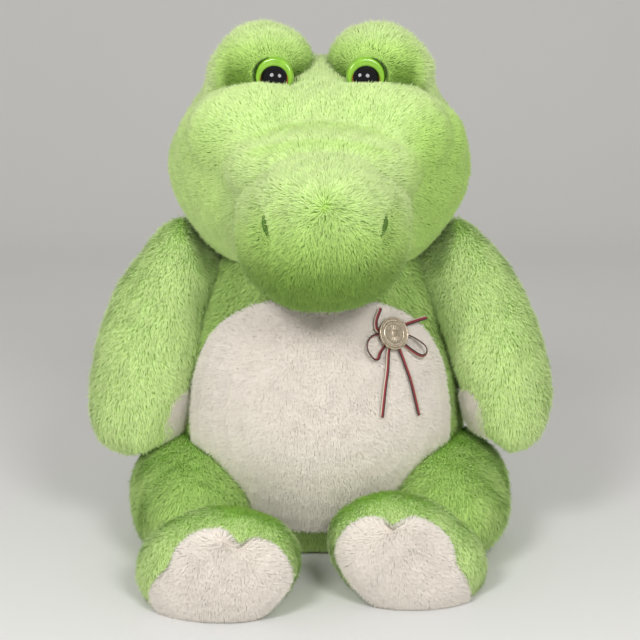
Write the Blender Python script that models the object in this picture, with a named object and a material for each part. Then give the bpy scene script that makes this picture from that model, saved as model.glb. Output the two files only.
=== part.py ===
"""A seated plush crocodile: stuffed forms, sewn panels, plastic eyes and a ribbon brooch.

Lengths are metres. +Z is up, the toy faces -Y, and its own left side is +X.
The origin is the middle of the flat seat, on the surface that the toy sits on.
Each stuffed form is one solid: its plush skin together with the filling inside it.
"""

import math

import bmesh
import bpy
from mathutils import Matrix, Vector

# Clearances
GAP = 0.0003                       # between sewn or seated neighbours
PANEL_LIFT = 0.0006                # underside of a sewn panel over the round below it
CUT_OVERRUN = 0.012                # how far a cutter runs past what it cuts

# Body, round about the vertical axis through the origin
BODY_RADIUS = 0.124
BODY_TOP = 0.282                   # top of the dome that the head sits on
BODY_SINK = 0.020                  # how far the full form would reach below the flat seat
BODY_SWELL_SHARES = ((0.0, 1.04), (0.4, 1.0), (0.6, 0.93), (0.76, 0.86), (1.0, 0.83))
BODY_POWER_SHARE = 2.4             # power of the round ends, 2 for an ellipse

# Flat panels sewn to the body
PANEL_THICKNESS = 0.003
BELLY_BOTTOM = 0.034
BELLY_TOP = 0.214
BELLY_HALF_WIDTH = 0.122           # half the panel's width, measured round the body
BELLY_WIDEST_SHARE = 0.56          # height share where the panel is widest
BELLY_CORNER_SHARE = 2.7           # power of the panel's outline, 2 for an ellipse

# Head
HEAD_HALF_WIDTH = 0.1215
HEAD_HALF_DEPTH = 0.100
HEAD_HEIGHT = 0.187
HEAD_FORWARD = 0.015               # centre of the head ahead of the neck axis
NECK_OVERLAP = 0.062               # how deep the body's dome sits in the head
HEAD_TURN = math.radians(20)
HEAD_SWELL_SHARES = ((0.0, 0.95), (0.22, 0.95), (0.5, 1.0), (0.8, 0.95), (1.0, 0.9))
HEAD_POWER_SHARE = 2.2
HEAD_TURN_ROOM = 0.006             # room kept for the turning cheeks

# Muzzle
MUZZLE_HALF_WIDTH = 0.066
MUZZLE_HALF_HEIGHT = 0.062
MUZZLE_REACH = 0.178               # tip of the muzzle ahead of the head's centre
MUZZLE_ROOT = 0.010                # start of the muzzle ahead of the head's centre
MUZZLE_DROP = 0.026                # root of the muzzle below the head's middle
MUZZLE_TIP_DROP = 0.039            # tip of the muzzle below the head's middle
MUZZLE_ASIDE = 0.004               # tip of the muzzle off the middle, to the toy's left
MUZZLE_CORNER_SHARE = 2.4          # power of the muzzle's section, 2 for an ellipse
MUZZLE_SWELL_SHARES = ((0.0, 1.0), (0.5, 1.02), (1.0, 0.96))
MUZZLE_POWER_SHARES = (2.6, 2.3)

# Brow lobes
BROW_HALF_WIDTH = 0.0445
BROW_HALF_HEIGHT = 0.035
BROW_HALF_DEPTH = 0.046
BROW_SPREAD = 0.0480               # middle of a lobe out from the middle of the head
BROW_RISE_SHARE = 0.433            # middle of a lobe above the head's middle, of the head's height
BROW_FORWARD = 0.028               # middle of a lobe ahead of the head's centre
BROW_TILT = math.radians(14)
BROW_SWELL_SHARES = ((0.0, 1.0), (1.0, 1.0))
BROW_POWER_SHARES = (2.0, 2.0)

# Eyes
EYE_RADIUS = 0.0122
EYE_DOME = 0.0085                  # height of the dome over its flat back
EYE_INSET = 0.0130                 # eye nearer to the middle of the head than its lobe
EYE_DROP = 0.0065                  # eye below the middle of its lobe
EYE_SINK = 0.0050                  # flat back of the eye under the surface of the lobe
EYE_PITCH = math.radians(10)
EYE_YAW = math.radians(6)
SHANK_RADIUS = 0.0028
SHANK_LENGTH = 0.0085
WASHER_RADIUS = 0.0070
WASHER_THICKNESS = 0.0014
WASHER_STEP = 0.0035               # washer behind the flat back of the eye
LID_WIDTH = 0.0034                 # width of the lid's ring at its sides
LID_HOOD = 0.0022                  # how much the outer ring is set up to thicken the top
LID_HEIGHT = 0.0070
LID_SECTION_SHARES = ((0.0, 0.86), (0.30, 1.0), (0.70, 0.84), (1.0, 0.42))  # outward and upward

# Nostrils, stitched on the front of the muzzle
NOSTRIL_SPREAD = 0.0420
NOSTRIL_RISE = 0.0110
NOSTRIL_HALF_HEIGHT = 0.0065
NOSTRIL_HALF_WIDTH = 0.0018
NOSTRIL_LEAN = math.radians(12)
STITCH_THICKNESS = 0.0012

# Arms
SHOULDER_SPREAD = 0.093            # first spine point of the arm, out from the middle
SHOULDER_HEIGHT = 0.270
SHOULDER_FORWARD = 0.006
PAW_SPREAD = 0.155
PAW_HEIGHT = 0.078
PAW_FORWARD = 0.062
ARM_HALF_WIDTH = 0.0455
ARM_HALF_DEPTH = 0.0440
ARM_BOW_SHARES = ((0.0, 0.0, 0.0), (0.33, 0.50, 0.16), (0.66, 0.84, 0.52), (1.0, 1.0, 1.0))
ARM_SWELL_SHARES = ((0.0, 0.86), (0.3, 0.92), (0.65, 1.0), (1.0, 0.98))
ARM_POWER_SHARES = (2.3, 2.8)
ARM_SWING = math.radians(50)       # forward and up
SHOULDER_AXIS_DROP = 0.040         # shoulder axis under the top of the arm's spine

# White pads on the paws
PALM_THICKNESS = 0.0025
PALM_PLACE_SHARE = 0.83
PALM_LENGTH_SHARE = 0.13
PALM_TURN = math.radians(27)       # middle of the pad ahead of the paw's inner side
PALM_HALF_TURN = math.radians(24)

# Legs
THIGH_HALF_WIDTH = 0.053
THIGH_HALF_HEIGHT = 0.051
THIGH_SPREAD_BACK = 0.102
THIGH_SPREAD_FRONT = 0.100
THIGH_BACK = 0.046                 # rear end of the thigh behind the body's axis
THIGH_REACH = 0.150                # front end of the thigh ahead of the body's axis
THIGH_MIDDLE = 0.043               # height of the thigh's spine
THIGH_SWELL_SHARES = ((0.0, 1.0), (0.5, 1.05), (1.0, 0.82))
THIGH_POWER_SHARE = 2.3
LEG_SPLAY = math.radians(8)
HIP_AXIS_TURN = math.radians(24)   # hip axis behind the body's side, round the body

FOOT_HALF_WIDTH = 0.0660
FOOT_HALF_HEIGHT = 0.0465
FOOT_LENGTH = 0.095
FOOT_REACH_LEFT = 0.190            # middle of the sole ahead of the body's axis
FOOT_REACH_RIGHT = 0.214
FOOT_SPREAD_LEFT = 0.0760
FOOT_SPREAD_RIGHT = 0.0850
FOOT_MIDDLE = 0.0410               # height of the middle of the sole
FOOT_SPLAY = math.radians(12)
FOOT_LEAN = math.radians(20)       # the sole looks up by this much
FOOT_ROLL_LEFT = math.radians(24)  # outer edge of the sole lower than its inner edge
FOOT_ROLL_RIGHT = math.radians(12)
FOOT_SWELL_SHARES = ((0.0, 0.92), (0.5, 0.98), (1.0, 1.0))
FOOT_POWER_SHARES = (2.2, 2.8)     # of the heel and of the sole

# Sole panel with three toes, as outward and upward shares of the foot's half width and half height
SOLE_MIDDLE_SHARES = (0.0, -0.25)
SOLE_OUTLINE_SHARES = (
    (0.80, -0.36), (0.68, -0.12), (0.46, 0.06), (0.38, 0.26), (0.18, 0.46), (-0.16, 0.48),
    (-0.36, 0.20), (-0.50, 0.28), (-0.70, 0.18), (-0.83, -0.08), (-0.83, -0.35), (-0.70, -0.56),
    (-0.45, -0.78), (-0.08, -0.90), (0.30, -0.85), (0.60, -0.66))

# Tail
TAIL_LENGTH = 0.150
TAIL_HALF_WIDTH = 0.044
TAIL_HALF_HEIGHT = 0.040
TAIL_ROOT_HEIGHT = 0.050
TAIL_TIP_HEIGHT = 0.024
TAIL_TUCK = 0.022                  # root of the tail inside the body's round
TAIL_SWELL_SHARES = ((0.0, 1.0), (0.35, 0.92), (0.75, 0.62), (1.0, 0.42))
TAIL_POWER_SHARE = 2.3
TAIL_WAG = math.radians(15)

# Brooch, pinned on the belly under the chin
BROOCH_TURN = math.radians(30)     # round the body from its front
BROOCH_DROP = 0.0255               # middle of the medal below the underside of the muzzle
MEDAL_RADIUS = 0.0130
MEDAL_THICKNESS = 0.0014
MEDAL_RIM_WIDTH = 0.0012
MEDAL_RIM_HEIGHT = 0.0005
MEDAL_RING_SHARES = (0.62, 0.72)   # inner and outer radius of the raised ring inside the rim
NEEDLE_RADIUS = 0.00045
NEEDLE_LENGTH = 0.020
NEEDLE_POINT = 0.0012              # length of its pointed end
BAR_LENGTH = 0.0226
BAR_HEIGHT = 0.0045
BAR_THICKNESS = 0.0010
BAR_STANDOFF = 0.0018
KNOT_RADIUS = 0.0060
KNOT_THICKNESS = 0.0036
RIBBON_WIDTH = 0.0034
RIBBON_THICKNESS = 0.0006

# Ribbon ends and loops, as leftward and upward shares of the bow's reach; left is the toy's own
BOW_REACH = 0.0300
BOW_END_LEFT_SHARES = ((0.07, 0.03), (0.35, 0.18), (0.80, 0.27), (1.17, 0.32))
BOW_END_RIGHT_SHARES = ((-0.07, 0.03), (-0.40, 0.12), (-0.42, 0.37), (-0.20, 0.72))
BOW_LOOP_LEFT_SHARES = (
    (0.07, -0.02), (0.43, -0.05), (0.77, -0.25), (0.97, -0.45),
    (0.95, -0.63), (0.77, -0.68), (0.50, -0.50), (0.07, -0.08))
BOW_LOOP_RIGHT_SHARES = (
    (-0.07, -0.02), (-0.47, 0.03), (-0.72, -0.07), (-0.82, -0.30),
    (-0.72, -0.55), (-0.57, -0.60), (-0.45, -0.43), (-0.05, -0.07))

# Routes of the two loose ribbons, from the knot down over the belly
RIBBON_ROUTE_LEFT = (
    (0.0594, -0.0991, 0.1841), (0.0630, -0.1002, 0.1776), (0.0678, -0.1016, 0.1649),
    (0.0727, -0.1022, 0.1505), (0.0789, -0.1030, 0.1247))
RIBBON_ROUTE_RIGHT = (
    (0.0559, -0.1011, 0.1841), (0.0538, -0.1056, 0.1771), (0.0529, -0.1104, 0.1639),
    (0.0511, -0.1145, 0.1505), (0.0485, -0.1200, 0.1276))

# Facets
BODY_SIDES = 32
BODY_RINGS = 16
FORM_SIDES = 20
FORM_RINGS = 14
ROUND_SIDES = 24
DOME_STEPS = 5
PATCH_RINGS = 4
SOLE_RINGS = 8
SOLE_SIDES = 32
STITCH_RINGS = 2
STITCH_SIDES = 16
PATCH_SIDES = 24
BELLY_RINGS = 8
BELLY_SIDES = 44
RIBBON_STEPS = 4
MEDAL_SIDES = 36
NEEDLE_SIDES = 10
SMOOTH_ANGLE = math.radians(50)
SPINE_STEP_SHARE = 0.01            # step along a spine that gives its direction
SLOPE_STEP_SHARE = 0.002           # step over a surface that gives its slope
HALVINGS = 40                      # steps of a search by halves
SWEEP_STEPS = 6                    # steps of a turn at which a neighbour cuts a moving piece

GREEN_PLUSH = ("green_plush", (0.42, 0.66, 0.17, 1.0), 0.95, 0.0)
WHITE_PLUSH = ("white_plush", (0.80, 0.76, 0.70, 1.0), 0.95, 0.0)
GREEN_PLASTIC = ("green_plastic", (0.34, 0.60, 0.05, 1.0), 0.25, 0.0)
BLACK_PLASTIC = ("black_plastic", (0.01, 0.01, 0.01, 1.0), 0.08, 0.0)
CLEAR_PLASTIC = ("washer_plastic", (0.75, 0.75, 0.72, 1.0), 0.45, 0.0)
DARK_THREAD = ("green_thread", (0.16, 0.36, 0.04, 1.0), 0.8, 0.0)
PALE_GOLD = ("pale_gold", (0.72, 0.62, 0.46, 1.0), 0.32, 1.0)
STEEL = ("steel", (0.6, 0.6, 0.6, 1.0), 0.3, 1.0)
RED_RIBBON = ("red_ribbon", (0.24, 0.02, 0.03, 1.0), 0.7, 0.0)

HEAD_BOTTOM = BODY_TOP - NECK_OVERLAP
HEAD_MIDDLE = HEAD_BOTTOM + HEAD_HEIGHT / 2
BROOCH_HEIGHT = HEAD_MIDDLE - MUZZLE_TIP_DROP - MUZZLE_HALF_HEIGHT - BROOCH_DROP


def clear_scene():
    """Remove every object of the open file."""
    for item in list(bpy.data.objects):
        bpy.data.objects.remove(item, do_unlink=True)


def get_material(finish):
    """Return the Principled material of a finish, made once."""
    name, colour, roughness, metallic = finish
    found = bpy.data.materials.get(name)
    if found:
        return found
    made = bpy.data.materials.new(name)
    made.use_nodes = True
    shader = made.node_tree.nodes["Principled BSDF"]
    shader.inputs["Base Color"].default_value = colour
    shader.inputs["Roughness"].default_value = roughness
    shader.inputs["Metallic"].default_value = metallic
    made.diffuse_color = colour
    return made


def make_object(name, shape, finish=None):
    """Turn a bmesh into a smooth-shaded object, with its faces facing out."""
    bmesh.ops.recalc_face_normals(shape, faces=shape.faces)
    mesh = bpy.data.meshes.new(name)
    shape.to_mesh(mesh)
    shape.free()
    mesh.shade_smooth()
    mesh.set_sharp_from_angle(angle=SMOOTH_ANGLE)
    made = bpy.data.objects.new(name, mesh)
    bpy.context.collection.objects.link(made)
    if finish:
        mesh.materials.append(get_material(finish))
    return made


def smooth_value(stations, place):
    """Read a smooth curve through (place, value) stations; values are numbers or vectors."""
    last = len(stations) - 1
    index = max(k for k in range(last) if k == 0 or stations[k][0] <= place)
    start, end = stations[index], stations[index + 1]
    span = end[0] - start[0]
    before = stations[max(index - 1, 0)]
    after = stations[min(index + 2, last)]
    slope_in = (end[1] - before[1]) * (span / (end[0] - before[0]))
    slope_out = (after[1] - start[1]) * (span / (after[0] - start[0]))
    t = min(max((place - start[0]) / span, 0.0), 1.0)
    return (start[1] * (2 * t ** 3 - 3 * t ** 2 + 1) + slope_in * (t ** 3 - 2 * t ** 2 + t)
            + end[1] * (3 * t ** 2 - 2 * t ** 3) + slope_out * (t ** 3 - t ** 2))


def corner_size(across, upward, power):
    """Size of a step measured by a superellipse of a power."""
    return (abs(across) ** power + abs(upward) ** power) ** (1 / power)


class StuffedForm:
    """Ellipses carried along a smooth spine that swell, taper and close in a round at each end."""

    def __init__(self, spine, half_width, half_depth, side, swell, powers, corner=2.0):
        self.corner = corner
        self.spine = spine
        self.half_width = half_width
        self.half_depth = half_depth
        self.side = Vector(side).normalized()
        self.swell = swell
        self.powers = powers

    def centre(self, place):
        """Point of the spine at a share of its length."""
        return smooth_value(self.spine, place)

    def axes(self, place):
        """Side and depth directions of the ellipse there."""
        low, high = max(place - SPINE_STEP_SHARE, 0.0), min(place + SPINE_STEP_SHARE, 1.0)
        along = (self.centre(high) - self.centre(low)).normalized()
        side = (self.side - along * self.side.dot(along)).normalized()
        return side, along.cross(side)

    def rounding(self, place):
        """Share of the full ellipse that the round ends leave."""
        power = self.powers[0] if place < 0.5 else self.powers[1]
        return max(1 - abs(2 * place - 1) ** power, 0.0) ** (1 / power)

    def point(self, place, angle):
        """Point of the surface; angle runs from the side direction to the depth direction."""
        side, depth = self.axes(place)
        size = self.rounding(place) * smooth_value(self.swell, place)
        size /= corner_size(math.cos(angle), math.sin(angle), self.corner)
        return (self.centre(place) + side * (self.half_width * size * math.cos(angle))
                + depth * (self.half_depth * size * math.sin(angle)))

    def normal(self, place, angle):
        """Outward direction of the surface."""
        step = SLOPE_STEP_SHARE
        place = min(max(place, 2 * step), 1 - 2 * step)
        along = self.point(place + step, angle) - self.point(place - step, angle)
        around = self.point(place, angle + step) - self.point(place, angle - step)
        out = along.cross(around).normalized()
        return out if out.dot(self.point(place, angle) - self.centre(place)) > 0 else -out

    def raised(self, place, angle, height):
        """Point over the surface by a height."""
        return self.point(place, angle) + self.normal(place, angle) * height

    def end_place(self, across, upward):
        """Place and angle on the form's far end, at steps from its spine."""
        low, high = 0.5, 1.0
        for _ in range(HALVINGS):
            middle = (low + high) / 2
            size = self.rounding(middle) * smooth_value(self.swell, middle)
            reach = corner_size(across / self.half_width, upward / self.half_depth, self.corner)
            low, high = (middle, high) if reach < size else (low, middle)
        return low, math.atan2(upward / self.half_depth, across / self.half_width)

    def shape(self, rings, sides):
        """Bmesh of the whole form."""
        shape = bmesh.new()
        loops = [[shape.verts.new(self.centre(0.0))]]
        for ring in range(1, rings):
            place = (1 - math.cos(math.pi * ring / rings)) / 2
            loops.append([shape.verts.new(self.point(place, 2 * math.pi * side / sides))
                          for side in range(sides)])
        loops.append([shape.verts.new(self.centre(1.0))])
        join_loops(shape, loops)
        return shape


def join_loops(shape, loops, closed=False):
    """Fill between neighbouring loops of equal count; a loop of one point is a tip."""
    pairs = list(zip(loops, loops[1:]))
    if closed:
        pairs.append((loops[-1], loops[0]))
    for first, second in pairs:
        count = max(len(first), len(second))
        for index in range(count):
            after = (index + 1) % count
            corners = [first[index % len(first)], first[after % len(first)],
                       second[after % len(second)], second[index % len(second)]]
            corners = list(dict.fromkeys(corners))
            if len(corners) > 2:
                shape.faces.new(corners)


def cut_flat(shape, height, keep_above=True):
    """Slice a shape level at a height and close the cut with one flat face."""
    everything = shape.verts[:] + shape.edges[:] + shape.faces[:]
    lost_side = (0, 0, -1) if keep_above else (0, 0, 1)
    cut = bmesh.ops.bisect_plane(shape, geom=everything, plane_co=(0, 0, height),
                                 plane_no=lost_side, clear_outer=True)
    rim = [item for item in cut["geom_cut"] if isinstance(item, bmesh.types.BMEdge)]
    bmesh.ops.contextual_create(shape, geom=rim)


def turned(name, profile, finish=None, sides=ROUND_SIDES, closed=False):
    """Spin a profile of (radius, height) points about Z; an open profile starts and ends at radius 0."""
    shape = bmesh.new()
    loops = []
    for radius, height in profile:
        count = sides if radius > 0 else 1
        loops.append([shape.verts.new((radius * math.cos(2 * math.pi * k / sides),
                                       radius * math.sin(2 * math.pi * k / sides), height))
                      for k in range(count)])
    join_loops(shape, loops, closed)
    return make_object(name, shape, finish)


def hide_cutter(cutter):
    """Mark an object as a tool that only cuts."""
    cutter.hide_render = True
    cutter.display_type = "WIRE"


def boolean(target, tool, operation):
    """Add an exact Boolean modifier."""
    step = target.modifiers.new(operation.lower(), "BOOLEAN")
    step.operation = operation
    step.solver = "EXACT"
    step.object = tool


def grown_cutter(name, source, growth, turn=None):
    """Copy a solid's own mesh, grow it evenly, turn it if asked, and keep it as a cutter."""
    shape = bmesh.new()
    shape.from_mesh(source.data)
    shape.transform(source.matrix_basis)
    shape.normal_update()
    moved = [(vertex, vertex.co + vertex.normal * growth) for vertex in shape.verts]
    for vertex, place in moved:
        vertex.co = place
    if turn:
        shape.transform(turn)
    cutter = make_object(name, shape)
    hide_cutter(cutter)
    return cutter


def turn_about(pivot, axis, angle):
    """Matrix of a turn about an axis through a point."""
    return Matrix.Translation(pivot) @ Matrix.Rotation(angle, 4, axis) @ Matrix.Translation(-pivot)


def hang_on(name, pivot, pieces):
    """Parent pieces to an empty on their joint's axis, and leave them where they are."""
    joint = bpy.data.objects.new(name, None)
    joint.matrix_basis = Matrix.Translation(pivot)
    bpy.context.collection.objects.link(joint)
    for piece in pieces:
        piece.parent = joint
        piece.matrix_parent_inverse = Matrix.Translation(-pivot)


def patch_shape(form, places, thickness, lift, rings, sides):
    """Bmesh of a thin panel over a form; places(ring share, side share) gives place and angle on it.

    lift is the height of its underside over the form, below zero for a panel that only cuts.
    """
    shape = bmesh.new()
    under, over = [], []
    for ring in range(rings + 1):
        share = ring / rings
        count = sides if ring else 1
        spots = [places(share, side / sides) for side in range(count)]
        under.append([shape.verts.new(form.raised(*spot, lift)) for spot in spots])
        over.append([shape.verts.new(form.raised(*spot, GAP + thickness)) for spot in spots])
    join_loops(shape, over)
    join_loops(shape, under)
    join_loops(shape, [over[-1], under[-1]])
    return shape


def body_form():
    """The body's round, before it is cut flat for the seat."""
    spine = [(0.0, Vector((0, 0, -BODY_SINK))), (1.0, Vector((0, 0, BODY_TOP)))]
    powers = (BODY_POWER_SHARE, BODY_POWER_SHARE)
    return StuffedForm(spine, BODY_RADIUS, BODY_RADIUS, (1, 0, 0), BODY_SWELL_SHARES, powers)


def body_place(height):
    """Share of the body's spine at a height."""
    return (height + BODY_SINK) / (BODY_TOP + BODY_SINK)


def body_width(height):
    """Radius of the body at a height."""
    return body_form().point(body_place(height), 0.0).x


def make_body_room():
    """The body's full round, which only cuts its neighbours."""
    room = make_object("body_room", body_form().shape(BODY_RINGS, BODY_SIDES))
    hide_cutter(room)
    return room


def make_body():
    """The torso, cut flat where the seat panel closes it."""
    shape = body_form().shape(BODY_RINGS, BODY_SIDES)
    cut_flat(shape, PANEL_THICKNESS + GAP)
    return make_object("body", shape, GREEN_PLUSH)


def make_seat_panel():
    """The flat panel that the toy sits on, its edge in line with the body's round."""
    shape = body_form().shape(BODY_RINGS, BODY_SIDES)
    cut_flat(shape, 0.0)
    cut_flat(shape, PANEL_THICKNESS, keep_above=False)
    return make_object("seat_panel", shape, GREEN_PLUSH)


def make_belly_panel(name="belly_panel", finish=WHITE_PLUSH, lift=PANEL_LIFT):
    """The white egg-shaped panel, sewn over the body's front."""
    form = body_form()
    middle = BELLY_BOTTOM + (BELLY_TOP - BELLY_BOTTOM) * BELLY_WIDEST_SHARE
    half_turn = BELLY_HALF_WIDTH / BODY_RADIUS

    def places(ring_share, side_share):
        angle = 2 * math.pi * side_share
        across, up = math.cos(angle), math.sin(angle)
        corner = corner_size(across, up, BELLY_CORNER_SHARE)
        across, up = across / corner, up / corner
        reach = (BELLY_TOP - middle) if up > 0 else (middle - BELLY_BOTTOM)
        height = middle + reach * up * ring_share
        return body_place(height), -math.pi / 2 + half_turn * across * ring_share

    shape = patch_shape(form, places, PANEL_THICKNESS, lift, BELLY_RINGS, BELLY_SIDES)
    return make_object(name, shape, finish)


def head_form(half_depth=HEAD_HALF_DEPTH, forward=HEAD_FORWARD, room=0.0):
    """The head's round; room makes it fuller all round."""
    spine = [(0.0, Vector((0, -forward, HEAD_BOTTOM - room))),
             (1.0, Vector((0, -forward, HEAD_BOTTOM + HEAD_HEIGHT + room)))]
    return StuffedForm(spine, HEAD_HALF_WIDTH + room, half_depth + room, (1, 0, 0),
                       HEAD_SWELL_SHARES, (HEAD_POWER_SHARE, HEAD_POWER_SHARE))


def make_head(body):
    """The head, hollowed below for the body's dome."""
    head = make_object("head", head_form().shape(FORM_RINGS, BODY_SIDES), GREEN_PLUSH)
    boolean(head, grown_cutter("head_seat_cut", body, GAP), "DIFFERENCE")
    return head


def muzzle_form():
    """The muzzle, along a spine that runs forward and slightly down."""
    front = -HEAD_FORWARD
    spine = [(0.0, Vector((0, front - MUZZLE_ROOT, HEAD_MIDDLE - MUZZLE_DROP))),
             (1.0, Vector((MUZZLE_ASIDE, front - MUZZLE_REACH, HEAD_MIDDLE - MUZZLE_TIP_DROP)))]
    return StuffedForm(spine, MUZZLE_HALF_WIDTH, MUZZLE_HALF_HEIGHT, (1, 0, 0), MUZZLE_SWELL_SHARES,
                       MUZZLE_POWER_SHARES, MUZZLE_CORNER_SHARE)


def make_muzzle(body, head):
    """The muzzle, cut by the head and kept clear of the chest as the head turns."""
    muzzle = make_object("muzzle", muzzle_form().shape(FORM_RINGS, BODY_SIDES), GREEN_PLUSH)
    boolean(muzzle, grown_cutter("muzzle_head_cut", head, GAP), "DIFFERENCE")
    chest_room = PANEL_THICKNESS + 2 * GAP
    boolean(muzzle, grown_cutter("muzzle_chest_cut", body, chest_room), "DIFFERENCE")
    return muzzle


def brow_form(sign):
    """A brow lobe, its outer end lower than its inner end."""
    middle = Vector((sign * BROW_SPREAD, -HEAD_FORWARD - BROW_FORWARD, HEAD_MIDDLE + BROW_RISE_SHARE * HEAD_HEIGHT))
    half = Vector((sign * math.cos(BROW_TILT), 0, -math.sin(BROW_TILT))) * BROW_HALF_WIDTH
    spine = [(0.0, middle - half), (1.0, middle + half)]
    return StuffedForm(spine, BROW_HALF_DEPTH, BROW_HALF_HEIGHT, (0, -1, 0), BROW_SWELL_SHARES,
                       BROW_POWER_SHARES)


def eye_frame(sign):
    """Matrix of an eye: +Z looks out of the head, +Y is up, the origin is its flat back."""
    form = brow_form(sign)
    middle = form.centre(0.5)
    spot = middle + Vector((-sign * EYE_INSET, 0, -EYE_DROP))
    along = (form.centre(1.0) - form.centre(0.0)).normalized()
    place = 0.5 + (spot - middle).dot(along) / (2 * BROW_HALF_WIDTH)
    size = form.rounding(place)
    up = along.cross(Vector((0, -1, 0))) * sign
    rise = (spot - form.centre(place)).dot(up) / (BROW_HALF_HEIGHT * size)
    front = BROW_HALF_DEPTH * size * math.sqrt(1 - rise ** 2)
    seat = Vector((spot.x, middle.y - front + EYE_SINK, spot.z))
    turn = Matrix.Rotation(sign * EYE_YAW, 4, "Z") @ Matrix.Rotation(math.pi / 2 - EYE_PITCH, 4, "X")
    return Matrix.Translation(seat) @ turn


def make_brow(side, sign, head):
    """A brow lobe with the recess, the bore and the washer pocket of its eye."""
    brow = make_object("brow_" + side, brow_form(sign).shape(FORM_RINGS, FORM_SIDES), GREEN_PLUSH)
    boolean(brow, grown_cutter("brow_head_cut_" + side, head, GAP), "DIFFERENCE")
    recess = EYE_RADIUS + LID_WIDTH + 2 * GAP
    bore = SHANK_RADIUS + GAP
    pocket = WASHER_RADIUS + GAP
    washer_top = -WASHER_STEP + GAP
    washer_back = -WASHER_STEP - WASHER_THICKNESS - GAP
    profile = [(0, CUT_OVERRUN), (recess, CUT_OVERRUN), (recess, -GAP), (bore, -GAP), (bore, washer_top),
               (pocket, washer_top), (pocket, washer_back), (bore, washer_back),
               (bore, -SHANK_LENGTH - GAP), (0, -SHANK_LENGTH - GAP)]
    cutter = turned("eye_seat_cut_" + side, profile)
    cutter.matrix_basis = eye_frame(sign)
    hide_cutter(cutter)
    hood_profile = [(0, CUT_OVERRUN), (recess, CUT_OVERRUN), (recess, -GAP), (0, -GAP)]
    hood = turned("lid_seat_cut_" + side, hood_profile)
    hood.matrix_basis = eye_frame(sign) @ Matrix.Translation((0, LID_HOOD, 0))
    hide_cutter(hood)
    for piece in (brow, head):
        boolean(piece, cutter, "DIFFERENCE")
        boolean(piece, hood, "DIFFERENCE")
    return brow


def make_eye(side, sign):
    """The domed plastic eye with its shank."""
    shank = [(0, -SHANK_LENGTH), (SHANK_RADIUS, -SHANK_LENGTH), (SHANK_RADIUS, 0)]
    turns = [math.pi / 2 * step / DOME_STEPS for step in range(DOME_STEPS)]
    dome = [(EYE_RADIUS * math.cos(turn), EYE_DOME * math.sin(turn)) for turn in turns]
    eye = turned("eye_" + side, shank + dome + [(0, EYE_DOME)], BLACK_PLASTIC)
    eye.matrix_basis = eye_frame(sign)
    return eye


def make_eye_washer(side, sign):
    """The washer that locks the eye's shank inside the brow."""
    bore = SHANK_RADIUS + GAP
    profile = [(bore, -WASHER_STEP), (WASHER_RADIUS, -WASHER_STEP),
               (WASHER_RADIUS, -WASHER_STEP - WASHER_THICKNESS), (bore, -WASHER_STEP - WASHER_THICKNESS)]
    washer = turned("eye_washer_" + side, profile, CLEAR_PLASTIC, closed=True)
    washer.matrix_basis = eye_frame(sign)
    return washer


def make_eyelid(side, sign):
    """The lid: a ring round the eye, set up so that its top is the widest part."""
    inner = EYE_RADIUS + GAP
    outer = EYE_RADIUS + LID_WIDTH + GAP
    shape = bmesh.new()
    loops = []
    for index in range(ROUND_SIDES):
        angle = 2 * math.pi * index / ROUND_SIDES
        way = Vector((math.cos(angle), math.sin(angle), 0))
        near = way * inner
        far = way * outer + Vector((0, LID_HOOD, 0))
        rise = Vector((0, 0, LID_HEIGHT))
        crest = [near.lerp(far, out) + rise * up for out, up in LID_SECTION_SHARES]
        loops.append([shape.verts.new(point) for point in [near] + crest + [far]])
    join_loops(shape, loops, closed=True)
    lid = make_object("eyelid_" + side, shape, GREEN_PLASTIC)
    lid.matrix_basis = eye_frame(sign)
    return lid


def make_nostril(side, sign):
    """A short slit of dark stitches on the front of the muzzle."""
    form = muzzle_form()

    def places(ring_share, side_share):
        angle = 2 * math.pi * side_share
        across = NOSTRIL_HALF_WIDTH * math.cos(angle) * ring_share
        upward = NOSTRIL_HALF_HEIGHT * math.sin(angle) * ring_share
        lean = -sign * NOSTRIL_LEAN
        x = sign * NOSTRIL_SPREAD + across * math.cos(lean) - upward * math.sin(lean)
        z = NOSTRIL_RISE + across * math.sin(lean) + upward * math.cos(lean)
        return form.end_place(x, z)

    shape = patch_shape(form, places, STITCH_THICKNESS, GAP, STITCH_RINGS, STITCH_SIDES)
    return make_object("nostril_" + side, shape, DARK_THREAD)


def arm_form(sign):
    """The arm, hanging out and forward from the shoulder to the paw."""
    spine = []
    for share, out, ahead in ARM_BOW_SHARES:
        spine.append((share, Vector((
            sign * (SHOULDER_SPREAD + (PAW_SPREAD - SHOULDER_SPREAD) * out),
            -(SHOULDER_FORWARD + (PAW_FORWARD - SHOULDER_FORWARD) * ahead),
            SHOULDER_HEIGHT + (PAW_HEIGHT - SHOULDER_HEIGHT) * share))))
    return StuffedForm(spine, ARM_HALF_WIDTH, ARM_HALF_DEPTH, (sign, 0, 0), ARM_SWELL_SHARES,
                       ARM_POWER_SHARES)


def shoulder_axis(sign):
    """Point and direction of the shoulder's axis; a positive turn swings the paw forward and up."""
    height = SHOULDER_HEIGHT - SHOULDER_AXIS_DROP
    pivot = Vector((sign * body_width(height), -SHOULDER_FORWARD, height))
    return pivot, Vector((-1, 0, 0))


def hip_axis(sign):
    """Point and direction of the hip's axis; a positive turn splays the leg."""
    reach = BODY_RADIUS + GAP
    pivot = Vector((sign * reach * math.cos(HIP_AXIS_TURN), reach * math.sin(HIP_AXIS_TURN), THIGH_MIDDLE))
    return pivot, Vector((0, 0, sign))


def swept_cutters(name, source, pivot, axis, angle):
    """Grown copies of a neighbour at even steps of a turn, as a moving piece meets it."""
    cutters = []
    for step in range(SWEEP_STEPS + 1):
        turn = turn_about(pivot, axis, angle * step / SWEEP_STEPS)
        cutters.append(grown_cutter("%s_%d" % (name, step), source, GAP, turn))
    return cutters


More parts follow.
